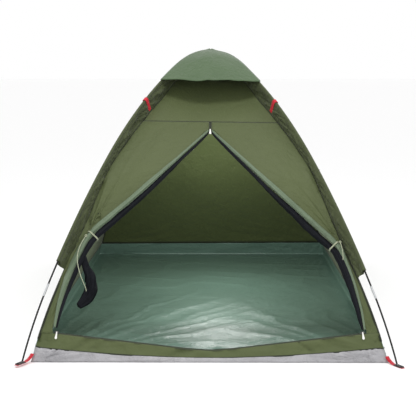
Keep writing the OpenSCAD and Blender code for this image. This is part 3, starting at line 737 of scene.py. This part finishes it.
def make_groundsheet():
    """Floor and upturned walls in one sheet, green inside and silver outside."""
    nx, ny, up = 120, 190, 10
    x, y = np.linspace(-FLOOR_W / 2, FLOOR_W / 2, nx), np.linspace(-FLOOR_L / 2, FLOOR_L / 2, ny)
    gx, gy = np.meshgrid(x, y)
    floor = np.stack([gx, gy, floor_height(gx, gy)], -1)
    verts = [floor.reshape(-1, 3)]
    uvs = [np.stack([gx, gy], -1).reshape(-1, 2)]
    faces = grid_faces(ny, nx)
    corner = [leg_point(i, TUB_S, seam_inset(TUB_S)) for i in range(4)]
    sides = [
        (floor[0], 0, 1, True),
        (floor[:, -1], 1, 2, False),
        (floor[-1, ::-1], 2, 3, False),
        (floor[::-1, 0], 3, 0, False),
    ]
    count = nx * ny
    for number, (foot, a, b, door) in enumerate(sides):
        t = np.linspace(0, 1, len(foot))[:, None]
        rim = corner[a] * (1 - t) + corner[b] * t
        if door:
            rim = front_at(rim[:, 0], rim_z(rim[:, 0]))
            rim[0], rim[-1] = rim_end(a), rim_end(b)
        k = np.linspace(0, 1, up)[:, None, None]
        wall = foot[None] * (1 - k) + rim[None] * k
        run = np.linalg.norm(foot - foot[0], axis=1)[None, :] * np.ones((up, 1))
        tall = wall[..., 2]
        far = run.max() + 0.01
        deep = 17 * MM if door else 9 * MM
        depth = deep * fan(run, tall, -0.01, 0, 17, 0.34, 81 + number)
        depth = depth + deep * fan(run, tall, far, 0, 17, 0.34, 85 + number)
        depth = depth + 2.5 * MM * soft_noise(run * 11, tall * 20, 89 + number)
        ends = step_up(run, 0, 30 * MM) * step_up(run.max() - run, 0, 30 * MM)
        inside = np.sin(np.pi * k[..., 0]) ** 0.7 * ends
        wall = wall - grid_normals(wall) * (depth * inside)[..., None]
        verts.append(wall.reshape(-1, 3))
        uvs.append(np.stack([run + number * 3, -tall], -1).reshape(-1, 2))
        faces += [face[::-1] for face in grid_faces(up, len(foot), start=count)]
        count += up * len(foot)
    verts, uvs = np.concatenate(verts), np.concatenate(uvs)
    piece = add_piece("groundsheet_cloth", verts, faces, ["floor", "silver"], uvs)
    weld(piece, 0.2 * MM)
    thicken(piece, 1 * MM, -1.0, inner_slot=1)
    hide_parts("groundsheet")


# ---- Roof ----
# how much of the front brim's bow the side brims have
SIDE_SHARE = 0.12


def dome_points(depth, reach, rows, belly):
    """Rings of a dome over the four legs; belly bows each side out towards the rim."""
    per_side = 40
    s = np.linspace(0, reach, rows)
    rings = []
    for a in range(4):
        t = np.arange(per_side) / per_side
        sg = s[:, None] * np.ones((1, per_side))
        tg = np.ones((rows, 1)) * t[None, :]
        pa, pb = leg_point(a, sg, depth), leg_point((a + 1) % 4, sg, depth)
        out = unit(leg_dir(a) + leg_dir((a + 1) % 4))
        bow = belly * (1 if a % 2 == 0 else SIDE_SHARE) * 4 * tg * (1 - tg) * (sg / reach) ** 2
        rings.append(pa * (1 - tg)[..., None] + pb * tg[..., None] + bow[..., None] * out)
    points = np.concatenate(rings, 1)
    points[0] = points[0].mean(0)
    return points


def ring_sheet(name, points, finish, node):
    """A dome of cloth from rings of points, with UVs in metres laid out round its top."""
    n, m = points.shape[:2]
    turn = np.arange(m) / m * 2 * np.pi
    reach = np.concatenate([[0], np.cumsum(np.linalg.norm(np.diff(points, axis=0), axis=-1).mean(1))])
    uv = np.stack([reach[:, None] * np.cos(turn), reach[:, None] * np.sin(turn)], -1)
    faces = grid_faces(n, m, closed=True)
    piece = add_piece(name, points.reshape(-1, 3), faces, [finish], uv.reshape(-1, 2))
    weld(piece, 0.05 * MM)
    thicken(piece)
    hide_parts(node)


def make_roof_net():
    points = dome_points(46 * MM, MESH_S + 2 * MM, 24, 0)
    ring_sheet("roof_net", points, "net", "roof_mesh")


def make_rain_cap():
    """The cap: tight over the poles, bowed out at its brim, with a slightly waved hem."""
    points = dome_points(-CAP_CLEAR, CAP_REACH, 46, 58 * MM)
    n, m = points.shape[:2]
    around = np.arange(m) / m * 4
    face = np.where(np.floor(around).astype(int) % 2 == 0, 1.0, 0.5)
    between = (face * np.sin(np.pi * (around % 1)) ** 0.8)[None, :]
    k = np.linspace(0, 1, n)[:, None]
    x, y = points[..., 0], points[..., 1]
    radius, turn = np.hypot(x, y), np.arctan2(y, x)
    rise = 8 * MM * between * np.sin(np.pi * k) ** 1.5 + 5 * MM * np.exp(-((k / 0.07) ** 2))
    ripple = 1.6 * MM * np.sin(turn * 9 + 0.7) + 1.2 * MM * np.sin(turn * 17 + 2)
    rise = rise + ripple * between * k**3
    rise = rise + 3 * MM * soft_noise(x * 14, y * 14, 91) * between * k
    rise = rise + 4 * MM * crease(turn * 5, radius * 2, 92) * between * step_up(k, 0.1, 0.5)
    points[..., 2] += rise + 0.8 * MM * step_up(k, 0.955, 0.97)
    ring_sheet("rain_cap_cloth", points, "cap", "rain_cap")


# ---- Sleeves ----
SLEEVE_R = 5.6 * MM
GUY_S = 527 * MM


def make_sleeve(name, leg, seed, node):
    """A strip of cloth folded round the pole and sewn to the body seam, gathered and creased."""
    rows = 260
    # the front right sleeve has been pulled a little further down its pole
    end = SLEEVE_END + (26 * MM if leg == 1 else 0)
    s = np.linspace(70 * MM, end, rows)
    inset = np.where(s < MESH_S, 45 * MM, seam_inset(s))
    centre = leg_point(leg, s, 0 * s)
    outward = unit(leg_point(leg, s, 0 * s - 10 * MM) - centre)
    lateral = np.array([-leg_dir(leg)[1], leg_dir(leg)[0], 0])
    profile = []
    flat = 14
    for k in range(flat):
        a = k / (flat - 1)
        profile.append((-1 + a * 0.9, -1, a))
    for k in range(1, 12):
        turn = -math.pi / 2 + math.pi * k / 12
        profile.append((None, turn, 1))
    for k in range(flat - 1, -1, -1):
        a = k / (flat - 1)
        profile.append((-1 + a * 0.9, 1, a))
    # the strip's lower end is cut on a slant
    slant = 6 * MM * step_up(s, end - 30 * MM, end)
    points = np.zeros((rows, len(profile), 3))
    uv = np.zeros((rows, len(profile), 2))
    for j, (reach, face, a) in enumerate(profile):
        if reach is None:
            across, over = SLEEVE_R * math.cos(face), SLEEVE_R * math.sin(face)
            across, over = across * np.ones(rows), over * np.ones(rows)
            flatness = 0.0
            run = inset + 4 * MM * face
        else:
            across = inset * reach
            over = face * (1.0 * MM + (SLEEVE_R - 1 * MM) * a**2) * np.ones(rows)
            flatness = math.sin(math.pi * min(a * 0.95, 1))
            run = inset * (1 + reach) * (1 if face < 0 else -1)
        sway = 6.5 * MM * soft_noise(s * 19 + a * 1.7, 0 * s + a * 0.8, seed)
        sway = sway + 10.5 * MM * (crease(s * 30 - a * 4.2, 0 * s + a * 1.2, seed + 1) - 0.3)
        sway = sway + 5.5 * MM * (crease(s * 62 + a * 5, 0 * s + a * 2.5, seed + 2) - 0.3)
        far = 0 if over[0] < 0 else 5
        puff = 2.0 * MM * (1 + soft_noise(s * 34 + a * 2, 0 * s + a * 2 + far, seed + 3))
        # the strap of the guy loop holds the strip flat
        free = 1 - np.exp(-(((s - GUY_S) / (16 * MM)) ** 2))
        over = over + flatness * free * (sway + np.sign(over[0]) * puff)
        moved = s + slant * (1 - a)
        shift = (moved - s)[:, None] * np.gradient(centre, s, axis=0)
        points[:, j] = centre + outward * across[:, None] + lateral * over[:, None] + shift
        uv[:, j, 0] = run
        uv[:, j, 1] = s
    n, m = points.shape[:2]
    piece = add_piece(name, points.reshape(-1, 3), grid_faces(n, m), ["sleeve"], uv.reshape(-1, 2))
    thicken(piece, 0.6 * MM)
    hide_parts(node)


def make_sleeves():
    for leg, place in enumerate(("front_left", "front_right", "rear_right", "rear_left")):
        make_sleeve(place + "_sleeve_cloth", leg, 101 + 7 * leg, "sleeve_" + place)


# ---- Rolled door ----
ROLL_Z = {
    -1: np.array([750, 734, 640, 540, 450, 398, 340, 250, 170, 106]) * MM,
    1: np.array([750, 734, 640, 540, 450, 372, 325, 250, 170, 106]) * MM,
}
CLOTH_R = {
    -1: np.array([1.6, 4, 6.5, 9, 10.5, 11, 12, 10, 7, 3.5]) * MM,
    1: np.array([1.6, 4, 6.5, 9, 10.5, 10, 6, 5, 4, 3]) * MM,
}
NET_R = {
    -1: np.array([1.6, 4, 6.5, 9.5, 12, 12.5, 9, 7, 5, 3]) * MM,
    1: np.array([1.6, 4, 6.5, 9.5, 12, 12.5, 11.5, 10.5, 8, 3]) * MM,
}
ROLL_GAP = 3.5 * MM
TIE_AT = 5


def cloth_roll_path(side):
    heights = ROLL_Z[side]
    s = seam_s(heights)
    edge = front_point(s, side * opening_x(heights, side))
    shift = np.zeros((len(heights), 3))
    shift[:, 0] = -side * (ROLL_GAP + CLOTH_R[side])
    shift[:, 1] = -3 * MM
    path = edge + shift
    path[0] = front_point(s[0], side * 6 * MM)
    return path


def net_roll_path(side):
    cloth = cloth_roll_path(side)
    ahead = unit(np.gradient(cloth, axis=0))
    toward = np.array([-side * 20, 11, 0]) * np.ones((len(cloth), 1))
    toward = unit(toward - ahead * (toward * ahead).sum(1, keepdims=True))
    return cloth + toward * (CLOTH_R[side] + NET_R[side] + 0.5 * MM)[:, None]


def roll(name, path, radii, finish, node, seed, layers, slack, pinch_at):
    """Loosely rolled cloth: a coil of layers with long twisting folds, nipped in by its tie."""
    steps = 14
    centres = smooth_route(path, steps)
    radius = np.interp(np.linspace(0, 1, len(centres)), np.linspace(0, 1, len(radii)), radii)
    side, up = frames_along(centres)
    around = 40
    turn = np.arange(around) / around * 2 * np.pi
    run = run_along(centres)
    twist = turn[None, :] + run[:, None] * 2.0
    pinch = 1 - 0.22 * np.exp(-(((run - pinch_at) / (16 * MM)) ** 2))[:, None]
    cx, cy = np.cos(twist), np.sin(twist)
    folds = slack * soft_noise(cx * 1.3 + run[:, None] * 7, cy * 1.3, seed)
    folds = folds + 0.9 * slack * (crease(cx * 2.2 + 3, cy * 2.2 + run[:, None] * 4, seed + 1) - 0.4)
    ledge = layers * (((twist / (2 * np.pi)) % 1) - 0.5)
    reach = radius[:, None] * pinch * (0.96 + folds + ledge)
    points = centres[:, None] + side[:, None] * (reach * np.cos(turn))[..., None]
    points = points + up[:, None] * (reach * np.sin(turn))[..., None]
    n, m = points.shape[:2]
    uv = np.stack([turn[None, :] * radius[:, None], run[:, None] * np.ones((1, m))], -1)
    piece = add_piece(name, points.reshape(-1, 3), capped_faces(n, m), [finish], uv.reshape(-1, 2))
    if node:
        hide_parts(node)
    return piece


NET_BUNDLE = np.array([(-446, -806, 330), (-438, -800, 285), (-428, -792, 245), (-426, -790, 205),
                       (-438, -802, 172), (-462, -826, 150)]) * MM
NET_BUNDLE_R = np.array([7, 10, 17, 19, 16, 9]) * MM


def make_door_rolls():
    for side, word in ((-1, "left"), (1, "right")):
        path = cloth_roll_path(side)
        pinch = float(run_along(path)[TIE_AT])
        name, node = "door_roll_cloth_" + word, "door_roll_" + word
        roll(name, path, CLOTH_R[side], "roll", node, 121 + side, 0.24, 0.3, pinch)
        name, node = "door_net_" + word, "net_roll_" + word
        pieces = [roll(name, net_roll_path(side), NET_R[side], "net", node, 131 + side, 0.1, 0.34, pinch)]
        if side < 0:
            # the lower half of the left net has slipped out of its roll and hangs inside the door
            pieces.append(roll("net_bundle", NET_BUNDLE, NET_BUNDLE_R, "net", None, 141, 0.16, 0.5, -1))
            join_pieces(name, pieces)


# ---- Ties and their free ends ----
CORD_R = 1.25 * MM
TIE_ROUTES = {
    "left": [(-436, -790, 398), (-452, -814, 370), (-460, -838, 340), (-458, -856, 310),
             (-446, -872, 270), (-432, -868, 232), (-428, -868, 215)],
    "right": [(456, -807, 379), (461, -824, 360), (463, -836, 341), (463, -843, 322)],
}


def make_tie_cords():
    for word, route in TIE_ROUTES.items():
        points = smooth_route(np.array(route, float) * MM, 5)
        curve = bpy.data.curves.new("tie_cord_end_" + word, "CURVE")
        curve.dimensions = "3D"
        curve.bevel_depth = CORD_R
        curve.bevel_resolution = 3
        curve.use_fill_caps = True
        spline = curve.splines.new("POLY")
        spline.points.add(len(points) - 1)
        for point, place in zip(spline.points, points):
            point.co = (*place, 1)
        curve.materials.append(material_named("cord"))
        piece = bpy.data.objects.new("tie_cord_end_" + word, curve)
        bpy.context.scene.collection.objects.link(piece)
        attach(piece, BODY)
        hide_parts("tie_cord_" + word)


def make_tie_bands():
    """Two turns of cord round both rolls and a small knot in front."""
    for side, word in ((-1, "left"), (1, "right")):
        cloth, net = cloth_roll_path(side), net_roll_path(side)
        along_roll = unit(cloth[TIE_AT + 1] - cloth[TIE_AT - 1])
        across = net[TIE_AT] - cloth[TIE_AT]
        across = across - along_roll * np.dot(across, along_roll)
        reach = np.linalg.norm(across)
        across = across / reach
        up = np.cross(along_roll, across)
        turns, per_turn = 2, 48
        path = []
        for k in range(turns * per_turn + 1):
            a = 2 * np.pi * k / per_turn
            rim = (CLOTH_R if math.cos(a) < 0 else NET_R)[side][TIE_AT] * 0.86 + CORD_R
            middle = cloth[TIE_AT] + across * (reach if math.cos(a) >= 0 else 0)
            slide = along_roll * (k / per_turn - turns / 2) * 2.6 * MM
            path.append(middle + across * rim * math.cos(a) + up * rim * math.sin(a) + slide)
        pieces = [cord_tube("tie_wrap_" + word, np.array(path), CORD_R, "cord")]
        start = np.array(TIE_ROUTES[word][0]) * MM
        knot = []
        for k in range(40):
            a = 2 * np.pi * k / 39
            loop = np.array([math.cos(2 * a) * 3.2, math.sin(3 * a) * 2.2 - 1.2, math.sin(2 * a) * 3.2]) * MM
            knot.append(start + loop)
        pieces.append(cord_tube("tie_knot_" + word, np.array(knot), CORD_R, "cord"))
        join_pieces("tie_wrap_" + word, pieces, "tie_band_" + word)


def cord_tube(name, path, radius, finish, sides=10):
    """A round cord along a path."""
    side, up = frames_along(path, (0.13, 0.31, 1))
    turn = np.arange(sides) / sides * 2 * np.pi
    points = path[:, None] + side[:, None] * (radius * np.cos(turn))[None, :, None]
    points = points + up[:, None] * (radius * np.sin(turn))[None, :, None]
    n, m = points.shape[:2]
    run = run_along(path)[:, None]
    uv = np.stack([(turn * radius)[None, :] * np.ones((n, 1)), run * np.ones((1, m))], -1)
    return add_piece(name, points.reshape(-1, 3), capped_faces(n, m), [finish], uv.reshape(-1, 2))


# ---- Seams ----
def make_seams():
    """Bound seams where panels meet: along the corners, above the door, round the tub and at the threshold."""
    pieces = []
    for leg in range(4):
        s = np.linspace(MESH_S, TUB_S, 160)
        path = leg_point(leg, s, seam_inset(s) - 0.4 * MM)
        side = np.array([-leg_dir(leg)[1], leg_dir(leg)[0], 0])
        pieces.append(ribbon("corner_seam", path, side, 6 * MM, 1.4 * MM, "seam"))
        inner = leg_point(leg, s, seam_inset(s) + 2.2 * MM)
        pieces.append(ribbon("corner_seam_inside", inner, side, 9 * MM, 1.6 * MM, "seam"))
    x = np.linspace(-1, 1, 60)
    half = float(leg_point(1, DOOR_SEAM_S, seam_inset(DOOR_SEAM_S))[0])
    s = np.full(60, DOOR_SEAM_S)
    path = front_point(s, x * half)
    up = front_point(s - 0.01, x * half) - path
    pieces.append(ribbon("door_seam", path, up, 3 * MM, 1.6 * MM, "seam"))
    corner = [leg_point(i, TUB_S, seam_inset(TUB_S)) for i in range(4)]
    for a, b in ((1, 2), (2, 3), (3, 0)):
        t = np.linspace(0, 1, 90)[:, None]
        path = corner[a] * (1 - t) + corner[b] * t + np.array([0, 0, 1 * MM])
        up = np.array([0, 0, 1.0]) - 0.4 * (leg_dir(a) + leg_dir(b))
        pieces.append(ribbon("tub_seam", path, up, 9 * MM, 2.4 * MM, "seam"))
    rim_x = np.linspace(corner[0][0], corner[1][0], 120)
    path = front_at(rim_x, rim_z(rim_x))
    path[0], path[-1] = rim_end(0), rim_end(1)
    up = np.array([0, FRONT_LEAN, 1.0])
    pieces.append(ribbon("threshold_seam", path, up, 5 * MM, 2.0 * MM, "seam"))
    join_pieces("seam_bindings", pieces)


# ---- Zips ----
TOOTH_OUTLINE = ((-1, -0.6), (-0.6, -1), (0.6, -1), (1, -0.6), (1, 0.6), (0.6, 1), (-0.6, 1), (-1, 0.6))


def zip_row(name, path, up, normal, pitch=2.5 * MM):
    """Teeth of one side of a coil zip along a path: small rounded blocks at an even pitch."""
    run = run_along(path)
    places = np.arange(pitch / 2, run[-1], pitch)
    verts, faces = [], []
    for place in places:
        centre = np.array([np.interp(place, run, path[:, i]) for i in range(3)])
        i = min(np.searchsorted(run, place), len(path) - 1)
        ahead = unit(path[i] - path[i - 1])
        base = len(verts)
        for a in (-0.5, 0.5):
            for b, c in TOOTH_OUTLINE:
                verts.append(centre + ahead * a * pitch * 0.62 + up * b * 1.3 * MM + normal * c * 1.0 * MM)
        faces += [(base + k, base + (k + 1) % 8, base + 8 + (k + 1) % 8, base + 8 + k) for k in range(8)]
        faces += [tuple(base + k for k in range(7, -1, -1)), tuple(base + 8 + k for k in range(8))]
    return add_piece(name, verts, faces, ["coil"], [(v[0], v[2]) for v in verts])


def make_zips():
    x = np.linspace(-DOOR_FOOT_X + 2 * MM, DOOR_FOOT_X - 2 * MM, 220)
    up = unit(np.array([0, FRONT_LEAN, 1.0]))
    normal = np.array([0, up[2], -up[1]])
    edge = front_at(x, foot_z(x)) + normal * CLOTH / 2
    teeth = zip_row("foot_zip_teeth", edge + up * 3.4 * MM, up, normal)
    tape = ribbon("foot_zip_tape", edge + up * 1 * MM, up, 7 * MM, 1.6 * MM, "tape")
    join_pieces("foot_zip", [teeth, tape], "foot_zip_chain")
    s = np.linspace(float(seam_s(DOOR_TOP_Z)), DOOR_SEAM_S, 30)
    middle = front_point(s, 0 * s)
    up = unit(middle[-1] - middle[0])
    across = np.array([1.0, 0, 0])
    normal = np.cross(across, up)
    flat = middle - normal * CLOTH / 2
    sides = [flat + across * side * 1.1 * MM for side in (-1, 1)]
    pieces = [zip_row("door_zip_teeth", path, across, normal) for path in sides]
    pieces.append(ribbon("door_zip_tape", flat, across, 15 * MM, 0.8 * MM, "tape"))
    join_pieces("door_zip", pieces, "door_zip_chain")


# ---- Webbing ----
def make_corner_straps():
    """Each strap runs from the groundsheet's corner down under the plate and ends at its tip."""
    pieces = []
    for leg in range(4):
        out = leg_dir(leg)
        lateral = np.array([-out[1], out[0], 0])
        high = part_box("corner_plates")[1]
        reach = math.hypot(high.x, high.y) - 9 * MM
        lift = leg_lift(leg)
        r0 = HALF_DIAGONAL - 6 * MM
        plate_from = reach - 30 * MM
        route = [(r0, 24), (r0 + 8 * MM, 17), (r0 + 22 * MM, 9.5), (plate_from - 4 * MM, 5.2),
                 (plate_from + 10 * MM, 5.0), (reach, 5.0), (reach + 7 * MM, 5.0)]
        points = smooth_route([out * r + np.array([0, 0, z * MM + lift - 0.2 * MM]) for r, z in route], 6)
        points[:, 2] = np.maximum(points[:, 2], 1.0 * MM)
        pieces.append(ribbon("strap", points, lateral, 15 * MM, 1.4 * MM, "red"))
        stitch = points[:10] + np.array([0, 0, 1 * MM])
        pieces.append(ribbon("strap_end", stitch, lateral, 13 * MM, 1.0 * MM, "red"))
    join_pieces("corner_straps", pieces, "corner_webbing")


def make_guy_loops():
    """A short strap over each sleeve, sewn down at its ends, with room beneath for a line."""
    pieces = []
    for leg in range(4):
        lateral = np.array([-leg_dir(leg)[1], leg_dir(leg)[0], 0])
        centre = leg_point(leg, np.array([GUY_S]), np.array([0.0]))[0]
        outward = unit(leg_point(leg, np.array([GUY_S]), np.array([-0.01]))[0] - centre)
        ahead = unit(leg_point(leg, np.array([GUY_S + 1 * MM]), np.array([0.0]))[0] - centre)
        route = []
        for across, over in ((-46, -2.6), (-30, -3.8), (-18, -5.2), (-6, -7.2), (2, -7.4), (7, -4.8), (8.8, 0),
                             (7, 4.8), (2, 7.4), (-6, 7.2), (-18, 5.2), (-30, 3.8), (-46, 2.6)):
            route.append(centre + (outward * across + lateral * over) * MM)
        pieces.append(ribbon("guy_loop", smooth_route(route, 5), ahead, 17 * MM, 1.4 * MM, "red"))
    join_pieces("guy_straps", pieces, "guy_loops")


# ---- Hard parts that keep their own shape ----
NODE_FINISH = {
    "pole_a_section": "rod",
    "pole_b_section": "rod",
    "pole_a_ferrules": "steel",
    "pole_b_ferrules": "steel",
    "pole_a_shock": "elastic",
    "pole_b_shock": "elastic",
    "corner_plates": "black",
    "corner_pins": "steel",
    "top_zip_slider": "enamel",
    "left_zip_slider": "enamel",
    "right_zip_slider": "enamel",
    "top_zip_pull": "white",
    "left_zip_pull": "white",
    "right_zip_pull": "white",
}


def finish_hard_parts():
    for name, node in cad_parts.items():
        for start, finish in NODE_FINISH.items():
            if name.startswith(start):
                node.data.materials.clear()
                node.data.materials.append(material_named(finish))


# ---- Studio ----
FLOOR_HALF = 120.0
SENSOR, LENS = 36, 86.54
CAMERA_PLACE = (0.016, -4.262, 0.971)
CAMERA_DOWN, CAMERA_TURN = math.radians(7.79), math.radians(0.37)
GLOW_RADIUS = 0.15
# name, place, target, the property with its power, and its width; a lamp of no width is a point
LAMPS = (
    ("overhead", (0.1, -1.9, 3.6), (0, -0.5, 0.6), "key_power", 0.7),
    ("door_fill", (0.5, -4.2, 1.7), (0.15, -0.2, 0.1), "fill_power", 1.2),
    ("cabin_glow", (0.05, 0.15, 0.5), (0.1, 0.0, 0), "glow_power", None),
    ("rear_fill", (0, -0.5, 0.42), (0, 1, 0.12), "rear_power", 0.5),
)


def make_stage():
    size = bpy.context.scene.tent_sizes
    mesh = bpy.data.meshes.new("studio_floor")
    corners = [(x * FLOOR_HALF, y * FLOOR_HALF, 0) for x, y in ((-1, -1), (1, -1), (1, 1), (-1, 1))]
    mesh.from_pydata(corners, [], [(0, 1, 2, 3)])
    mesh.materials.append(material_named("board"))
    floor = bpy.data.objects.new("studio_floor", mesh)
    bpy.context.scene.collection.objects.link(floor)

    world = bpy.data.worlds.new("soft_white")
    world.use_nodes = True
    background = world.node_tree.nodes["Background"]
    background.inputs["Color"].default_value = (1, 1, 1, 1)
    background.inputs["Strength"].default_value = size.surround
    bpy.context.scene.world = world

    for name, place, target, power, spread in LAMPS:
        lamp = bpy.data.lights.new(name, "AREA" if spread else "POINT")
        lamp.energy = getattr(size, power)
        if spread:
            lamp.size = spread
        else:
            lamp.shadow_soft_size = GLOW_RADIUS
        light = bpy.data.objects.new(name, lamp)
        light.location = place
        light.rotation_euler = (Vector(target) - Vector(place)).to_track_quat("-Z", "Y").to_euler()
        light.visible_camera = False
        bpy.context.scene.collection.objects.link(light)

    lens = bpy.data.cameras.new("camera")
    lens.sensor_width = SENSOR
    lens.lens = LENS
    camera = bpy.data.objects.new("camera", lens)
    camera.location = CAMERA_PLACE
    camera.rotation_euler = (math.pi / 2 - CAMERA_DOWN, 0, CAMERA_TURN)
    bpy.context.scene.collection.objects.link(camera)
    bpy.context.scene.camera = camera
    bpy.context.scene.view_settings.view_transform = "Standard"


# ---- Add-on ----
class TentSizes(bpy.types.PropertyGroup):
    """Light and studio values"""

    surround: FloatProperty(
        name="Surround", description="Brightness of the white surround", default=1.0, min=0, max=3
    )
    key_power: FloatProperty(
        name="Overhead light", description="Power of the light above the door",
        default=40, max=500, unit="POWER"
    )
    fill_power: FloatProperty(
        name="Door light", description="Power of the light through the door",
        default=10, max=500, unit="POWER"
    )
    glow_power: FloatProperty(
        name="Cabin glow", description="Light that comes in through the cloth",
        default=9, max=50, unit="POWER"
    )
    rear_power: FloatProperty(
        name="Rear light", description="Light thrown on the rear wall inside",
        default=2.5, max=50, unit="POWER"
    )


class TentColours(bpy.types.PropertyGroup):
    """Cloth colours as sRGB hex values"""

    body_dark: StringProperty(name="Body, dark", description="Darker tone of the body", default="#4A5330")
    body_light: StringProperty(name="Body, light", description="Lighter tone of the body", default="#535D36")
    cap_dark: StringProperty(name="Cap, dark", description="Darker tone of the rain cap", default="#3F5535")
    cap_light: StringProperty(name="Cap, light", description="Lighter tone of the cap", default="#4C6341")
    sleeve_dark: StringProperty(name="Sleeve, dark", description="Darker tone of sleeves", default="#363D22")
    sleeve_light: StringProperty(
        name="Sleeve, light", description="Lighter tone of sleeves", default="#4B5432"
    )
    # the rolls' tones are lighter than the body's: a painted sheen on the same cloth
    roll_dark: StringProperty(name="Roll, dark", description="Darker tone of the rolls", default="#50604A")
    roll_light: StringProperty(name="Roll, light", description="Lighter tone of the rolls", default="#72826A")
    floor_dark: StringProperty(name="Floor, dark", description="Darker tone of the floor", default="#607A6E")
    floor_light: StringProperty(
        name="Floor, light", description="Lighter tone of the floor", default="#6F8B7E"
    )
    webbing: StringProperty(name="Webbing", description="Colour of the straps", default="#D00026")


class TENT_OT_studio(bpy.types.Operator):
    """Make the floor, the lights and the camera"""

    bl_idname = "tent.studio"
    bl_label = "Studio"

    def execute(self, context):
        make_stage()
        return {"FINISHED"}


class TENT_OT_tie_cords(bpy.types.Operator):
    """Make the free ends of the tie cords"""

    bl_idname = "tent.tie_cords"
    bl_label = "Tie cords"

    def execute(self, context):
        make_tie_cords()
        return {"FINISHED"}


class TENT_OT_front(bpy.types.Operator):
    """Make the front's cloth"""

    bl_idname = "tent.front"
    bl_label = "Front cloth"

    def execute(self, context):
        make_front()
        return {"FINISHED"}


class TENT_OT_walls(bpy.types.Operator):
    """Make the side and rear walls"""

    bl_idname = "tent.walls"
    bl_label = "Walls"

    def execute(self, context):
        make_walls()
        return {"FINISHED"}


class TENT_OT_threshold(bpy.types.Operator):
    """Make the strip of cloth below the door"""

    bl_idname = "tent.threshold"
    bl_label = "Threshold"

    def execute(self, context):
        make_threshold()
        return {"FINISHED"}


class TENT_OT_groundsheet(bpy.types.Operator):
    """Make the groundsheet"""

    bl_idname = "tent.groundsheet"
    bl_label = "Groundsheet"

    def execute(self, context):
        make_groundsheet()
        return {"FINISHED"}


class TENT_OT_roof(bpy.types.Operator):
    """Make the roof net and the rain cap"""

    bl_idname = "tent.roof"
    bl_label = "Roof"

    def execute(self, context):
        make_roof_net()
        make_rain_cap()
        return {"FINISHED"}


class TENT_OT_sleeves(bpy.types.Operator):
    """Make the pole sleeves"""

    bl_idname = "tent.sleeves"
    bl_label = "Sleeves"

    def execute(self, context):
        make_sleeves()
        return {"FINISHED"}


class TENT_OT_door_rolls(bpy.types.Operator):
    """Make the rolled door and net, and their ties"""

    bl_idname = "tent.door_rolls"
    bl_label = "Door rolls"

    def execute(self, context):
        make_door_rolls()
        make_tie_bands()
        return {"FINISHED"}


class TENT_OT_seams(bpy.types.Operator):
    """Make the bound seams"""

    bl_idname = "tent.seams"
    bl_label = "Seams"

    def execute(self, context):
        make_seams()
        return {"FINISHED"}


class TENT_OT_zips(bpy.types.Operator):
    """Make the zips' tapes and teeth"""

    bl_idname = "tent.zips"
    bl_label = "Zips"

    def execute(self, context):
        make_zips()
        return {"FINISHED"}


class TENT_OT_straps(bpy.types.Operator):
    """Make the corner straps and guy loops"""

    bl_idname = "tent.straps"
    bl_label = "Straps"

    def execute(self, context):
        make_corner_straps()
        make_guy_loops()
        return {"FINISHED"}


class TENT_OT_hard_parts(bpy.types.Operator):
    """Finish the poles, ferrules, plates, pins, sliders and pullers"""

    bl_idname = "tent.hard_parts"
    bl_label = "Hard parts"

    def execute(self, context):
        finish_hard_parts()
        return {"FINISHED"}


OPERATORS = (
    TENT_OT_studio,
    TENT_OT_tie_cords,
    TENT_OT_front,
    TENT_OT_walls,
    TENT_OT_threshold,
    TENT_OT_groundsheet,
    TENT_OT_roof,
    TENT_OT_sleeves,
    TENT_OT_door_rolls,
    TENT_OT_seams,
    TENT_OT_zips,
    TENT_OT_straps,
    TENT_OT_hard_parts,
)


class TENT_PT_panel(bpy.types.Panel):
    """Lists the tent's makers"""

    bl_label = "Tent"
    bl_idname = "TENT_PT_panel"
    bl_space_type = "VIEW_3D"
    bl_region_type = "UI"
    bl_category = "Tent"

    def draw(self, context):
        for operator in OPERATORS:
            self.layout.operator(operator.bl_idname)
        for group in (context.scene.tent_sizes, context.scene.tent_colours):
            for name in group.bl_rna.properties.keys():
                if name not in ("rna_type", "name"):
                    self.layout.prop(group, name)


CLASSES = (TentSizes, TentColours, *OPERATORS, TENT_PT_panel)


def register():
    for cls in CLASSES:
        bpy.utils.register_class(cls)
    bpy.types.Scene.tent_sizes = PointerProperty(type=TentSizes)
    bpy.types.Scene.tent_colours = PointerProperty(type=TentColours)


def unregister():
    del bpy.types.Scene.tent_colours
    del bpy.types.Scene.tent_sizes
    for cls in reversed(CLASSES):
        bpy.utils.unregister_class(cls)


def main():
    register()
    for operator in OPERATORS:
        group, name = operator.bl_idname.split(".")
        getattr(getattr(bpy.ops, group), name)()


if __name__ == "__main__":
    main()
